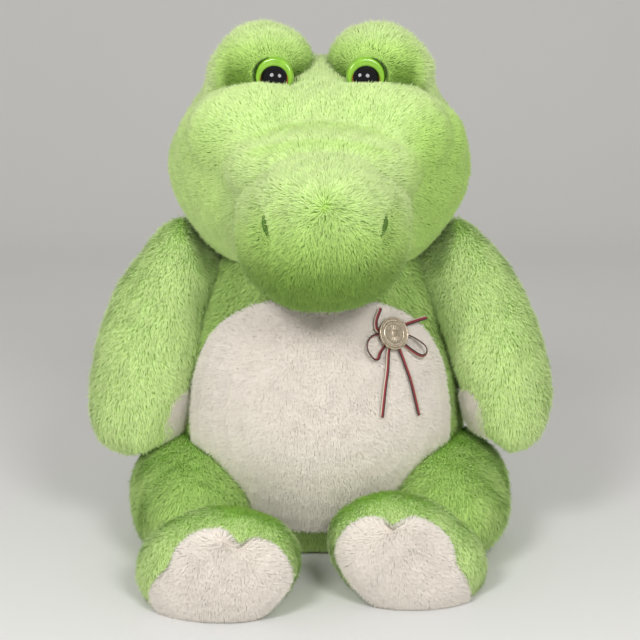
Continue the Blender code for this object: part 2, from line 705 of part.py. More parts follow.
def make_head_sweep(side):
    """A cutter that is round about the neck and fuller than the head."""
    room = head_form(half_depth=HEAD_HALF_WIDTH, forward=0.0, room=HEAD_TURN_ROOM)
    sweep = make_object("head_sweep_" + side, room.shape(FORM_RINGS, FORM_SIDES))
    hide_cutter(sweep)
    return sweep


def limb_cutters(side, sign, body, belly, thigh):
    """Cutters of an arm and of its palm: the body and the thigh through their turns, and the belly."""
    pivot, axis = shoulder_axis(sign)
    hip, hip_way = hip_axis(sign)
    cutters = [grown_cutter("arm_belly_cut_" + side, belly, GAP)]
    cutters += swept_cutters("arm_body_cut_" + side, body, pivot, axis, -ARM_SWING)
    cutters += swept_cutters("arm_thigh_cut_" + side, thigh, hip, hip_way, LEG_SPLAY)
    return cutters


def make_arm(side, sign, cutters):
    """The arm, cut where the body, the thigh and the turning head are."""
    arm = make_object("arm_" + side, arm_form(sign).shape(FORM_RINGS, FORM_SIDES), GREEN_PLUSH)
    pivot, axis = shoulder_axis(sign)
    head_cutters = swept_cutters("arm_head_cut_" + side, make_head_sweep(side), pivot, axis, -ARM_SWING)
    for cutter in cutters + head_cutters:
        boolean(arm, cutter, "DIFFERENCE")
    return arm


def make_palm(side, sign, cutters):
    """The white pad on the inner side of the paw."""
    form = arm_form(sign)

    def places(ring_share, side_share):
        angle = 2 * math.pi * side_share
        return (PALM_PLACE_SHARE + PALM_LENGTH_SHARE * math.cos(angle) * ring_share,
                math.pi - sign * PALM_TURN + PALM_HALF_TURN * math.sin(angle) * ring_share)

    shape = patch_shape(form, places, PALM_THICKNESS, PANEL_LIFT, PATCH_RINGS, PATCH_SIDES)
    palm = make_object("palm_" + side, shape, WHITE_PLUSH)
    for cutter in cutters:
        boolean(palm, cutter, "DIFFERENCE")
    return palm


def make_thigh(side, sign, body, belly):
    """The thigh, lying along the body's side."""
    spine = [(0.0, Vector((sign * THIGH_SPREAD_BACK, THIGH_BACK, THIGH_MIDDLE))),
             (1.0, Vector((sign * THIGH_SPREAD_FRONT, -THIGH_REACH, THIGH_MIDDLE)))]
    form = StuffedForm(spine, THIGH_HALF_WIDTH, THIGH_HALF_HEIGHT, (1, 0, 0), THIGH_SWELL_SHARES,
                       (THIGH_POWER_SHARE, THIGH_POWER_SHARE))
    shape = form.shape(FORM_RINGS, FORM_SIDES)
    cut_flat(shape, 0.0)
    thigh = make_object("thigh_" + side, shape, GREEN_PLUSH)
    boolean(thigh, grown_cutter("thigh_body_cut_" + side, body, GAP), "DIFFERENCE")
    boolean(thigh, grown_cutter("thigh_belly_cut_" + side, belly, 2 * GAP), "DIFFERENCE")
    return thigh


def foot_form(sign):
    """The foot, from its heel to the flat of its sole."""
    reach = FOOT_REACH_LEFT if sign > 0 else FOOT_REACH_RIGHT
    way = Vector((sign * math.sin(FOOT_SPLAY), -math.cos(FOOT_SPLAY), math.tan(FOOT_LEAN))).normalized()
    spread = FOOT_SPREAD_LEFT if sign > 0 else FOOT_SPREAD_RIGHT
    roll = FOOT_ROLL_LEFT if sign > 0 else FOOT_ROLL_RIGHT
    sole = Vector((sign * spread, -reach, FOOT_MIDDLE))
    level = Vector((0, 0, 1)).cross(way).normalized()
    side = Matrix.Rotation(-sign * roll, 3, way) @ level
    spine = [(0.0, sole - way * FOOT_LENGTH), (1.0, sole)]
    return StuffedForm(spine, FOOT_HALF_WIDTH, FOOT_HALF_HEIGHT, side, FOOT_SWELL_SHARES,
                       FOOT_POWER_SHARES)


def make_foot(side, sign, thigh, body, belly):
    """The foot, cut by the thigh and flat on the floor."""
    shape = foot_form(sign).shape(FORM_RINGS, FORM_SIDES)
    cut_flat(shape, 0.0)
    foot = make_object("foot_" + side, shape, GREEN_PLUSH)
    boolean(foot, grown_cutter("foot_thigh_cut_" + side, thigh, GAP), "DIFFERENCE")
    boolean(foot, grown_cutter("foot_body_cut_" + side, body, GAP), "DIFFERENCE")
    boolean(foot, grown_cutter("foot_belly_cut_" + side, belly, GAP), "DIFFERENCE")
    return foot


def sole_outline():
    """Stations of the sole panel's edge, run past both ends so that it closes smoothly."""
    count = len(SOLE_OUTLINE_SHARES)
    return [(step / count, Vector(SOLE_OUTLINE_SHARES[step % count])) for step in range(-1, count + 2)]


def make_sole(side, sign):
    """The white sole panel, flat on the floor below."""
    form = foot_form(sign)
    outline = sole_outline()
    middle = Vector(SOLE_MIDDLE_SHARES)

    def places(ring_share, side_share):
        spot = middle.lerp(smooth_value(outline, side_share), ring_share)
        return form.end_place(sign * spot.x * FOOT_HALF_WIDTH, spot.y * FOOT_HALF_HEIGHT)

    shape = patch_shape(form, places, PANEL_THICKNESS, PANEL_LIFT, SOLE_RINGS, SOLE_SIDES)
    cut_flat(shape, 0.0)
    return make_object("sole_" + side, shape, WHITE_PLUSH)


def make_tail(body):
    """The tail, lying behind the body, its root free to wag."""
    root = body_width(TAIL_ROOT_HEIGHT)
    spine = [(0.0, Vector((0, root - TAIL_TUCK, TAIL_ROOT_HEIGHT))),
             (1.0, Vector((0, root + TAIL_LENGTH, TAIL_TIP_HEIGHT)))]
    form = StuffedForm(spine, TAIL_HALF_WIDTH, TAIL_HALF_HEIGHT, (1, 0, 0), TAIL_SWELL_SHARES,
                       (TAIL_POWER_SHARE, TAIL_POWER_SHARE))
    shape = form.shape(FORM_RINGS, FORM_SIDES)
    cut_flat(shape, 0.0)
    tail = make_object("tail", shape, GREEN_PLUSH)
    pivot = Vector((0, root, TAIL_ROOT_HEIGHT))
    for way in (-1, 0, 1):
        wagged = turn_about(pivot, Vector((0, 0, 1)), TAIL_WAG * way)
        boolean(tail, grown_cutter("tail_body_cut_%d" % way, body, GAP, wagged), "DIFFERENCE")
    hang_on("tail_root", pivot, [tail])


def brooch_frame():
    """Matrix of the brooch: +Z points away from the belly panel, +Y is up, the origin is on the panel."""
    form = body_form()
    place, angle = body_place(BROOCH_HEIGHT), -math.pi / 2 + BROOCH_TURN
    out = form.normal(place, angle)
    across = Vector((0, 0, 1)).cross(out).normalized()
    up = out.cross(across)
    turn = Matrix((across, up, out)).transposed().to_4x4()
    return Matrix.Translation(form.raised(place, angle, PANEL_THICKNESS + GAP)) @ turn


def make_brooch_back():
    """The bar of the brooch; its two ends bend down to hold the needle between them."""
    inner, outer = NEEDLE_LENGTH / 2 + GAP, BAR_LENGTH / 2
    low, under, top = GAP, BAR_STANDOFF, BAR_STANDOFF + BAR_THICKNESS
    outline = [(-outer, low), (-outer, top), (outer, top), (outer, low),
               (inner, low), (inner, under), (-inner, under), (-inner, low)]
    shape = bmesh.new()
    loops = [[shape.verts.new((x, side * BAR_HEIGHT / 2, z)) for x, z in outline] for side in (-1, 1)]
    join_loops(shape, loops)
    for loop in loops:
        shape.faces.new(loop)
    back = make_object("brooch_bar", shape, STEEL)
    back.matrix_basis = brooch_frame()
    return back


def make_needle():
    """The needle, straight through the pile of the belly panel."""
    half = NEEDLE_LENGTH / 2
    profile = [(0, -half), (NEEDLE_RADIUS, -half), (NEEDLE_RADIUS, half - NEEDLE_POINT), (0, half)]
    needle = turned("brooch_needle", profile, STEEL, sides=NEEDLE_SIDES)
    needle.matrix_basis = (brooch_frame() @ Matrix.Translation((0, 0, GAP + NEEDLE_RADIUS))
                           @ Matrix.Rotation(math.pi / 2, 4, "Y"))
    return needle


def medal_level():
    """Height of the medal's back over the belly panel."""
    return BAR_STANDOFF + BAR_THICKNESS + KNOT_THICKNESS + 2 * GAP


def make_medal():
    """The round medal: a raised rim and one plain raised ring."""
    low = medal_level()
    face = low + MEDAL_THICKNESS
    crest = face + MEDAL_RIM_HEIGHT
    ring_in, ring_out = (MEDAL_RADIUS * share for share in MEDAL_RING_SHARES)
    rim_in = MEDAL_RADIUS - MEDAL_RIM_WIDTH
    profile = [(0, low), (MEDAL_RADIUS, low), (MEDAL_RADIUS, crest), (rim_in, crest), (rim_in, face),
               (ring_out, face), (ring_out, crest), (ring_in, crest), (ring_in, face), (0, face)]
    medal = turned("medal", profile, PALE_GOLD, sides=MEDAL_SIDES)
    medal.matrix_basis = brooch_frame()
    return medal


def route_points(route):
    """Smooth points through a ribbon's route."""
    stations = [(index, Vector(spot)) for index, spot in enumerate(route)]
    count = (len(route) - 1) * RIBBON_STEPS
    return [smooth_value(stations, index / RIBBON_STEPS) for index in range(count + 1)]


def strip_shape(points, widthways):
    """Bmesh of a flat strip along points, each with its own width direction."""
    shape = bmesh.new()
    loops = []
    last = len(points) - 1
    for index, (point, across) in enumerate(zip(points, widthways)):
        along = (points[min(index + 1, last)] - points[max(index - 1, 0)]).normalized()
        across = (across - along * across.dot(along)).normalized() * (RIBBON_WIDTH / 2)
        thick = along.cross(across).normalized() * (RIBBON_THICKNESS / 2)
        loops.append([shape.verts.new(point + corner) for corner in
                      (across + thick, thick - across, -across - thick, across - thick)])
    join_loops(shape, loops)
    shape.faces.new(loops[0])
    shape.faces.new(loops[-1])
    return shape


def make_ribbon_bow():
    """The knot behind the medal with its two loops and two short ends."""
    low = BAR_STANDOFF + BAR_THICKNESS + GAP
    middle, top = low + KNOT_THICKNESS / 2, low + KNOT_THICKNESS
    bow = turned("ribbon_bow", [(0, low), (KNOT_RADIUS, low), (KNOT_RADIUS, top), (0, top)], RED_RIBBON)
    frame = brooch_frame()
    bow.matrix_basis = frame
    outward = Vector((0, 0, 1))
    for name, shares, flat in (("end_left", BOW_END_LEFT_SHARES, True),
                               ("end_right", BOW_END_RIGHT_SHARES, True),
                               ("loop_left", BOW_LOOP_LEFT_SHARES, False),
                               ("loop_right", BOW_LOOP_RIGHT_SHARES, False)):
        spots = [spot * BOW_REACH for spot in route_points(shares)]
        points = [Vector((spot.x, spot.y, middle)) for spot in spots]
        last = len(points) - 1
        widthways = []
        for index in range(last + 1):
            along = points[min(index + 1, last)] - points[max(index - 1, 0)]
            widthways.append(along.cross(outward) if flat else outward)
        tool = make_object("bow_" + name, strip_shape(points, widthways))
        tool.matrix_basis = frame
        hide_cutter(tool)
        boolean(bow, tool, "UNION")
    return bow


def make_ribbon_tail(side, route):
    """A loose end of the ribbon, hanging over the belly."""
    points = route_points(route)
    last = len(points) - 1
    widthways = []
    for index, point in enumerate(points):
        along = points[min(index + 1, last)] - points[max(index - 1, 0)]
        widthways.append(along.cross(Vector((point.x, point.y, 0))))
    return make_object("ribbon_tail_" + side, strip_shape(points, widthways), RED_RIBBON)


def build():
    """Make every piece of the toy."""
    clear_scene()
    make_body()
    body = make_body_room()
    make_seat_panel()
    make_belly_panel()
    belly = make_belly_panel("belly_room", None, -PANEL_THICKNESS)
    hide_cutter(belly)
    head = make_head(body)
    head_pieces = [head, make_muzzle(body, head)]
    for side, sign in (("left", 1), ("right", -1)):
        head_pieces += [make_brow(side, sign, head), make_eye(side, sign), make_eye_washer(side, sign),
                        make_eyelid(side, sign), make_nostril(side, sign)]
        thigh = make_thigh(side, sign, body, belly)
        cutters = limb_cutters(side, sign, body, belly, thigh)
        leg_pieces = [thigh, make_foot(side, sign, thigh, body, belly), make_sole(side, sign)]
        hang_on("hip_" + side, hip_axis(sign)[0], leg_pieces)
        arm_pieces = [make_arm(side, sign, cutters), make_palm(side, sign, cutters)]
        hang_on("shoulder_" + side, shoulder_axis(sign)[0], arm_pieces)
    hang_on("neck", Vector((0, 0, HEAD_BOTTOM)), head_pieces)
    make_tail(body)
    make_brooch_back()
    make_needle()
    make_medal()
    make_ribbon_bow()
    make_ribbon_tail("left", RIBBON_ROUTE_LEFT)
    make_ribbon_tail("right", RIBBON_ROUTE_RIGHT)


build()
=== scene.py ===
"""Dress the plush crocodile: soft skins, pile, eyes, nostrils, brooch, ribbons and a plain studio.

Every length is in metres and every place is in the part's own frame: +Z is up, the toy faces -Y
and its own left side is +X. The stuffed pieces are softened copies of the part's solids, and
each of them grows a pile of fine tapered blades.
"""

from __future__ import annotations

import logging
import math
from collections.abc import Callable, Sequence
from dataclasses import dataclass, field
from enum import Enum
from typing import ClassVar

import bmesh
import bpy
import numpy as np
from mathutils import Matrix, Vector
from mathutils.bvhtree import BVHTree


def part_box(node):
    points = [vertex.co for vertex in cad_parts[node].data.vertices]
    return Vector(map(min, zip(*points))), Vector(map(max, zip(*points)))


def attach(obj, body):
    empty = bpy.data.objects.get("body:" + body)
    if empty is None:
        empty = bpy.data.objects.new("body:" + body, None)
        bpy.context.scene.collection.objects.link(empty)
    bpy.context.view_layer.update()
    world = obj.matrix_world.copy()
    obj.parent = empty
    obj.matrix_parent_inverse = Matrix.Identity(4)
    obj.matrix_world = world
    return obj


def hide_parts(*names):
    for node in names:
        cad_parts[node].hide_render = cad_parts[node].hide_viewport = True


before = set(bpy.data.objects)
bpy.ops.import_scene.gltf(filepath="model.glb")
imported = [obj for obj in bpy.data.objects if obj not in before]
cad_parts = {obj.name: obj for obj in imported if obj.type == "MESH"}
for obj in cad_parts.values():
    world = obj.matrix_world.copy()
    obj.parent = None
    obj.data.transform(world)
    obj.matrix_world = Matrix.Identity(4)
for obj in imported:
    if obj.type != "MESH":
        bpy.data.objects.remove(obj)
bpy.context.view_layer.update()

BAKE_MAP = "OFBake"
LOG = logging.getLogger("plush")

# The small gap between pieces that lie close, the most blades in one object, where along its
# length a blade is widest, and the angle from which an edge stays sharp.
GAP = 0.0003
BLADES_A_PIECE = 96_000
BLADE_MIDDLE = 0.48
SHARP = math.radians(50)

Colour = tuple[float, float, float, float]
Point = tuple[float, float, float]
Rows = np.ndarray
Field = Callable[[Rows, Rows], Rows]
MeshParts = tuple[list[Point], list[tuple[int, ...]], list[tuple[float, float]]]

BLACK: Colour = (0, 0, 0, 1)
DOWN: Point = (0.0, 0.0, -1.0)


class Side(Enum):
    """The toy's own left and right, as the sign of X."""

    LEFT = 1
    RIGHT = -1

    @property
    def word(self) -> str:
        """Ending of a piece's name."""
        return self.name.lower()


class Slot(Enum):
    """Names of the record's material slots."""

    GREEN = "green_plush"
    WHITE = "white_plush"
    LID = "green_plastic"
    EYE = "black_plastic"
    THREAD = "green_thread"
    GOLD = "pale_gold"
    STEEL = "steel"
    RIBBON = "red_ribbon"


def unit(rows: Rows) -> Rows:
    """Scale each row to length 1.

    Args:
        rows: Vectors, one a row.

    Returns:
        The same directions at unit length.
    """
    size = np.linalg.norm(rows, axis=1, keepdims=True)
    return rows / np.maximum(size, 1e-12)


def dots(left: Rows, right: Rows) -> Rows:
    """Dot product of each pair of rows, as a column."""
    return np.sum(left * right, axis=1, keepdims=True)


def along_skin(ways: Rows, normals: Rows) -> Rows:
    """Lay directions down on the surface.

    Args:
        ways: Directions, one a row.
        normals: Unit normals of the surface there.

    Returns:
        Unit directions that lie in the surface.
    """
    return unit(ways - normals * dots(ways, normals))


def smooth_step(values: Rows, low: float, high: float) -> Rows:
    """Rise smoothly from 0 at low to 1 at high."""
    share = np.clip((values - low) / (high - low), 0.0, 1.0)
    return share * share * (3 - 2 * share)


@dataclass(frozen=True)
class Ripple:
    """Smooth noise in space: a sum of plane waves with seeded directions.

    Attributes:
        wavelength: Middle wavelength.
        seed: Seed of the waves' directions and phases.
        waves: How many waves are added.
        SPREAD: Least and most wave number, as shares of the middle one.
    """

    SPREAD: ClassVar[tuple[float, float]] = (0.7, 1.35)

    wavelength: float
    seed: int
    waves: int = 8

    def parts(self, points: Rows) -> tuple[Rows, Rows]:
        """Work out the waves at some points.

        Args:
            points: Places, one a row.

        Returns:
            The waves' numbers and their angles at each point.
        """
        rng = np.random.default_rng(self.seed)
        ways = unit(rng.normal(size=(self.waves, 3)))
        spread = rng.uniform(*self.SPREAD, (self.waves, 1))
        numbers = ways * (2 * math.pi / self.wavelength) * spread
        phases = rng.uniform(0, 2 * math.pi, self.waves)
        return numbers, points @ numbers.T + phases

    def values(self, points: Rows) -> Rows:
        """Noise at the points, mostly from -1 to 1."""
        angles = self.parts(points)[1]
        return np.sin(angles).sum(axis=1) / math.sqrt(self.waves)

    def slopes(self, points: Rows) -> Rows:
        """Slope of the noise at the points, mostly under length 1."""
        numbers, angles = self.parts(points)
        return (np.cos(angles) @ numbers) * self.wavelength / (2 * math.pi * math.sqrt(self.waves))


# Waves of the filling's lumps and of the pile's swirls, lean, clumps and tones.
FILLING = Ripple(0.055, 11)
SWIRLS = Ripple(0.034, 21)
LEANINGS = Ripple(0.021, 31)
CLUMPS = Ripple(0.0058, 41)
TONES = Ripple(0.012, 51)


class Graph:
    """A node tree with short ways to add and join nodes."""

    def __init__(self, tree: bpy.types.NodeTree) -> None:
        """Take the tree to build in."""
        self.tree = tree

    def feed(self, node: bpy.types.Node, inputs: dict) -> None:
        """Give each named input of a node its value or the socket that feeds it."""
        for name, value in inputs.items():
            socket = node.inputs[name]
            if isinstance(value, bpy.types.NodeSocket):
                self.tree.links.new(value, socket)
            else:
                socket.default_value = value

    def add(self, kind: str, inputs: dict | None = None, **values: object) -> bpy.types.Node:
        """Add a node.

        Args:
            kind: Blender's type name of the node.
            inputs: Input names with a value or with the socket that feeds them.
            **values: Properties of the node.

        Returns:
            The new node.
        """
        node = self.tree.nodes.new(kind)
        for name, value in values.items():
            setattr(node, name, value)
        self.feed(node, inputs or {})
        return node

    def math(self, operation: str, left: object, right: object = 0.0) -> bpy.types.NodeSocket:
        """Add a Math node and return its output."""
        return self.add("ShaderNodeMath", {0: left, 1: right}, operation=operation).outputs[0]

    def blend(self, share: object, low: object, high: object, how: str = "MIX") -> bpy.types.NodeSocket:
        """Add a colour Mix node and return its output."""
        node = self.add("ShaderNodeMix", {0: share, 6: low, 7: high}, data_type="RGBA", blend_type=how)
        return node.outputs[2]

    def ramp(self, value: object, low: float, high: float) -> bpy.types.NodeSocket:
        """Add a Map Range node from low..high to 0..1 and return its output."""
        node = self.add("ShaderNodeMapRange", {"Value": value, "From Min": low, "From Max": high},
                        interpolation_type="SMOOTHSTEP")
        return node.outputs["Result"]

    def axes(self, place: bpy.types.NodeSocket) -> bpy.types.NodeOutputs:
        """Split a place into its X, Y and Z."""
        return self.add("ShaderNodeSeparateXYZ", {"Vector": place}).outputs

    def own_map(self) -> bpy.types.NodeSocket:
        """Places on the piece's own map."""
        return self.add("ShaderNodeUVMap", uv_map=BAKE_MAP).outputs["UV"]

    def own_space(self) -> bpy.types.NodeSocket:
        """Places in the piece's own space."""
        return self.add("ShaderNodeTexCoord").outputs["Object"]

    def noise(self, place: bpy.types.NodeSocket, scale: object, detail: float) -> bpy.types.NodeSocket:
        """Add a Noise node and return its output."""
        inputs = {"Vector": place, "Scale": scale, "Detail": detail}
        return self.add("ShaderNodeTexNoise", inputs).outputs["Fac"]

    def bump(self, height: object, strength: float, distance: float = 0.0001) -> bpy.types.NodeSocket:
        """Add a Bump node and return its output."""
        inputs = {"Height": height, "Strength": strength, "Distance": distance}
        return self.add("ShaderNodeBump", inputs).outputs["Normal"]

    def use(self, group: bpy.types.NodeTree, inputs: dict) -> bpy.types.NodeOutputs:
        """Place a shared group with its own values and return its outputs."""
        return self.add("ShaderNodeGroup", inputs, node_tree=group).outputs


def new_group(name: str, inputs: Sequence[tuple[str, str, object]],
              outputs: Sequence[tuple[str, str]]) -> Graph:
    """Start a shader group with named sockets.

    Args:
        name: Name of the group.
        inputs: Name, socket type and value of each input.
        outputs: Name and socket type of each output.

    Returns:
        The group's graph, with its input and output nodes in it.
    """
    tree = bpy.data.node_groups.new(name, "ShaderNodeTree")
    for label, kind, value in inputs:
        socket = tree.interface.new_socket(label, in_out="INPUT", socket_type=kind)
        socket.default_value = value
    for label, kind in outputs:
        tree.interface.new_socket(label, in_out="OUTPUT", socket_type=kind)
    graph = Graph(tree)
    graph.add("NodeGroupInput", name="In")
    graph.add("NodeGroupOutput", name="Out")
    return graph


class SharedGroups:
    """The shader groups that several materials use, each built once."""

    def __init__(self) -> None:
        """Build the groups."""
        self.strand = self.make_strand()
        self.knit = self.make_knit()
        self.grain = self.make_grain()

    def make_strand(self) -> bpy.types.NodeTree:
        """Colour of a blade from root to tip, a little different on each."""
        colour = "NodeSocketColor"
        graph = new_group(
            "Strand colour",
            [("Strand", "NodeSocketVector", (0, 0, 0)), ("Root", colour, BLACK), ("Middle", colour, BLACK),
             ("Tip", colour, BLACK), ("Variety", "NodeSocketFloat", 0.2)],
            [("Color", colour)])
        given = graph.tree.nodes["In"].outputs
        place = graph.axes(given["Strand"])
        lower = graph.blend(graph.ramp(place["Y"], 0.0, 0.35), given["Root"], given["Middle"])
        whole = graph.blend(graph.ramp(place["Y"], 0.3, 0.8), lower, given["Tip"])
        swing = graph.math("MULTIPLY", graph.math("SUBTRACT", place["X"], 0.5), given["Variety"])
        bright = graph.math("ADD", graph.math("MULTIPLY", swing, 2.0), 1.0)
        level = graph.add("ShaderNodeCombineColor", {"Red": bright, "Green": bright, "Blue": bright})
        out = graph.blend(1.0, whole, level.outputs[0], "MULTIPLY")
        graph.feed(graph.tree.nodes["Out"], {"Color": out})
        return graph.tree

    def make_knit(self) -> bpy.types.NodeTree:
        """Rows of small knit stitches, as the back of pile fabric shows."""
        graph = new_group("Knit backing", [("Pitch", "NodeSocketFloat", 0.0012)],
                          [("Height", "NodeSocketFloat"), ("Shade", "NodeSocketFloat")])
        place = graph.own_space()
        number = graph.math("DIVIDE", 2 * math.pi, graph.tree.nodes["In"].outputs["Pitch"])
        scaled = graph.add("ShaderNodeVectorMath", {0: place, "Scale": number}, operation="SCALE")
        axes = graph.axes(scaled.outputs[0])
        across, along, upward = [graph.math("SINE", axes[name]) for name in "XYZ"]
        rows = [graph.math("MULTIPLY", wave, upward) for wave in (across, along)]
        height = graph.math("ADD", graph.math("ADD", *rows), graph.noise(place, 900.0, 2.0))
        graph.feed(graph.tree.nodes["Out"], {"Height": height, "Shade": graph.ramp(height, -0.8, 1.6)})
        return graph.tree

    def make_grain(self) -> bpy.types.NodeTree:
        """Fine and coarse unevenness of a moulded or cast surface."""
        number = "NodeSocketFloat"
        graph = new_group("Grain", [("Fine", number, 900.0), ("Coarse", number, 90.0)],
                          [("Fine", number), ("Coarse", number)])
        given = graph.tree.nodes["In"].outputs
        place = graph.own_space()
        for name, detail in (("Fine", 4.0), ("Coarse", 3.0)):
            graph.feed(graph.tree.nodes["Out"], {name: graph.noise(place, given[name], detail)})
        return graph.tree


@dataclass(frozen=True)
class Finish:
    """A material: subclasses lay out its nodes.

    Attributes:
        name: Name of the material.
    """

    name: str

    def material(self, groups: SharedGroups) -> bpy.types.Material:
        """Make the material once and give it again afterwards.

        Args:
            groups: The shared shader groups.

        Returns:
            The material of this finish.
        """
        found = bpy.data.materials.get(self.name)
        if found is not None:
            return found
        material = bpy.data.materials.new(self.name)
        material.use_nodes = True
        graph = Graph(material.node_tree)
        graph.feed(material.node_tree.nodes["Principled BSDF"], self.lay_out(graph, groups))
        return material

    def lay_out(self, graph: Graph, groups: SharedGroups) -> dict:
        """Add the finish's nodes and return what feeds the shader's inputs."""
        raise NotImplementedError


@dataclass(frozen=True)
class PileFinish(Finish):
    """Soft pile, darker at the root than at the tip.

    Attributes:
        root: Colour at the root.
        middle: Colour half way up.
        tip: Colour at the tip.
        variety: How much blades differ in brightness.
        sheen: Weight of the soft sheen.
    """

    root: Colour
    middle: Colour
    tip: Colour
    variety: float = 0.16
    sheen: float = 0.13

    def lay_out(self, graph: Graph, groups: SharedGroups) -> dict:
        """Take the base colour from the blade's own map."""
        strand = graph.use(groups.strand, {
            "Strand": graph.own_map(), "Root": self.root, "Middle": self.middle, "Tip": self.tip,
            "Variety": self.variety})
        return {"Base Color": strand["Color"], "Roughness": 0.85, "Specular IOR Level": 0.25,
                "Sheen Weight": self.sheen, "Sheen Roughness": 0.5}


@dataclass(frozen=True)
class BackingFinish(Finish):
    """The knit that the pile grows from.

    Attributes:
        light: Colour on top of a stitch.
        dark: Colour between stitches.
        pitch: Width of a stitch.
    """

    light: Colour
    dark: Colour
    pitch: float = 0.0012

    def lay_out(self, graph: Graph, groups: SharedGroups) -> dict:
        """Take colour and bump from the knit."""
        knit = graph.use(groups.knit, {"Pitch": self.pitch})
        return {"Base Color": graph.blend(knit["Shade"], self.dark, self.light), "Roughness": 0.9,
                "Normal": graph.bump(knit["Height"], 0.5, 0.0002)}


@dataclass(frozen=True)
class MouldedFinish(Finish):
    """Glossy moulded plastic.

    Attributes:
        base: Main colour.
        tint: Colour of the uneven patches.
        roughness: Middle roughness.
        coat: Weight of the clear coat.
        swing: How much the roughness differs from place to place.
    """

    base: Colour
    tint: Colour
    roughness: float
    coat: float = 0.0
    swing: float = 0.1

    def lay_out(self, graph: Graph, groups: SharedGroups) -> dict:
        """Take colour, roughness and bump from the grain."""
        grain = graph.use(groups.grain, {"Fine": 1400.0, "Coarse": 160.0})
        patches = graph.ramp(grain["Coarse"], 0.35, 0.65)
        uneven = graph.math("MULTIPLY", grain["Fine"], self.swing)
        return {"Base Color": graph.blend(patches, self.base, self.tint),
                "Roughness": graph.math("ADD", uneven, self.roughness - self.swing / 2),
                "Normal": graph.bump(grain["Fine"], 0.08), "Coat Weight": self.coat, "Coat Roughness": 0.03}


@dataclass(frozen=True)
class MetalFinish(Finish):
    """Metal, dull in its low places.

    Attributes:
        bright: Colour of the polished places.
        dull: Colour of the tarnished places.
        roughness: Roughness of the polished places.
        tarnish: How much rougher the tarnished places are.
    """

    bright: Colour
    dull: Colour
    roughness: float
    tarnish: float = 0.3

    def lay_out(self, graph: Graph, groups: SharedGroups) -> dict:
        """Take colour, roughness and bump from the grain and the edges."""
        grain = graph.use(groups.grain, {"Fine": 2600.0, "Coarse": 420.0})
        edge = graph.ramp(graph.add("ShaderNodeNewGeometry").outputs["Pointiness"], 0.44, 0.56)
        worn = graph.math("MULTIPLY", edge, graph.ramp(grain["Coarse"], 0.2, 0.7))
        polish = graph.math("MULTIPLY", worn, self.tarnish)
        return {"Base Color": graph.blend(worn, self.dull, self.bright),
                "Roughness": graph.math("SUBTRACT", self.roughness + self.tarnish, polish),
                "Normal": graph.bump(grain["Fine"], 0.25), "Metallic": 0.85}


@dataclass(frozen=True)
class RibbonFinish(Finish):
    """Woven satin ribbon in three stripes.

    Attributes:
        first: Colour of the upper edge.
        middle: Colour between the edges.
        last: Colour of the lower edge.
        edges: Where the middle stripe starts and ends across the ribbon.
        soft: Half the width over which one stripe turns to the next.
    """

    first: Colour
    middle: Colour
    last: Colour
    edges: tuple[float, float] = (0.24, 0.74)
    soft: float = 0.02

    def lay_out(self, graph: Graph, groups: SharedGroups) -> dict:
        """Lay stripes along the ribbon and a fine rib across it."""
        axes = graph.axes(graph.own_map())
        upper, lower = [graph.ramp(axes["X"], edge - self.soft, edge + self.soft) for edge in self.edges]
        stripes = graph.blend(lower, graph.blend(upper, self.first, self.middle), self.last)
        threads = [graph.math("SINE", graph.math("MULTIPLY", axes[name], number))
                   for name, number in (("Y", 900.0), ("X", 75.0))]
        weave = graph.math("MULTIPLY", *threads)
        shaded = graph.blend(0.45, stripes, BLACK)
        return {"Base Color": graph.blend(graph.ramp(weave, -1.6, 1.0), shaded, stripes), "Roughness": 0.45,
                "Sheen Weight": 0.2, "Normal": graph.bump(weave, 0.3)}


@dataclass(frozen=True)
class ThreadFinish(Finish):
    """Glossy twisted embroidery thread.

    Attributes:
        light: Colour on the strands.
        dark: Colour between them.
        strands: How many strands are twisted together.
        twist: How fast they turn along the map.
    """

    light: Colour
    dark: Colour
    strands: int = 3
    twist: float = 90.0

    def lay_out(self, graph: Graph, groups: SharedGroups) -> dict:
        """Turn the strands round the thread by its own map."""
        axes = graph.axes(graph.own_map())
        around = graph.math("MULTIPLY", axes["X"], 2 * math.pi * self.strands)
        along = graph.math("MULTIPLY", axes["Y"], self.twist)
        strand = graph.math("SINE", graph.math("ADD", around, along))
        return {"Base Color": graph.blend(graph.ramp(strand, -0.9, 0.4), self.dark, self.light),
                "Roughness": 0.4, "Normal": graph.bump(strand, 0.5)}


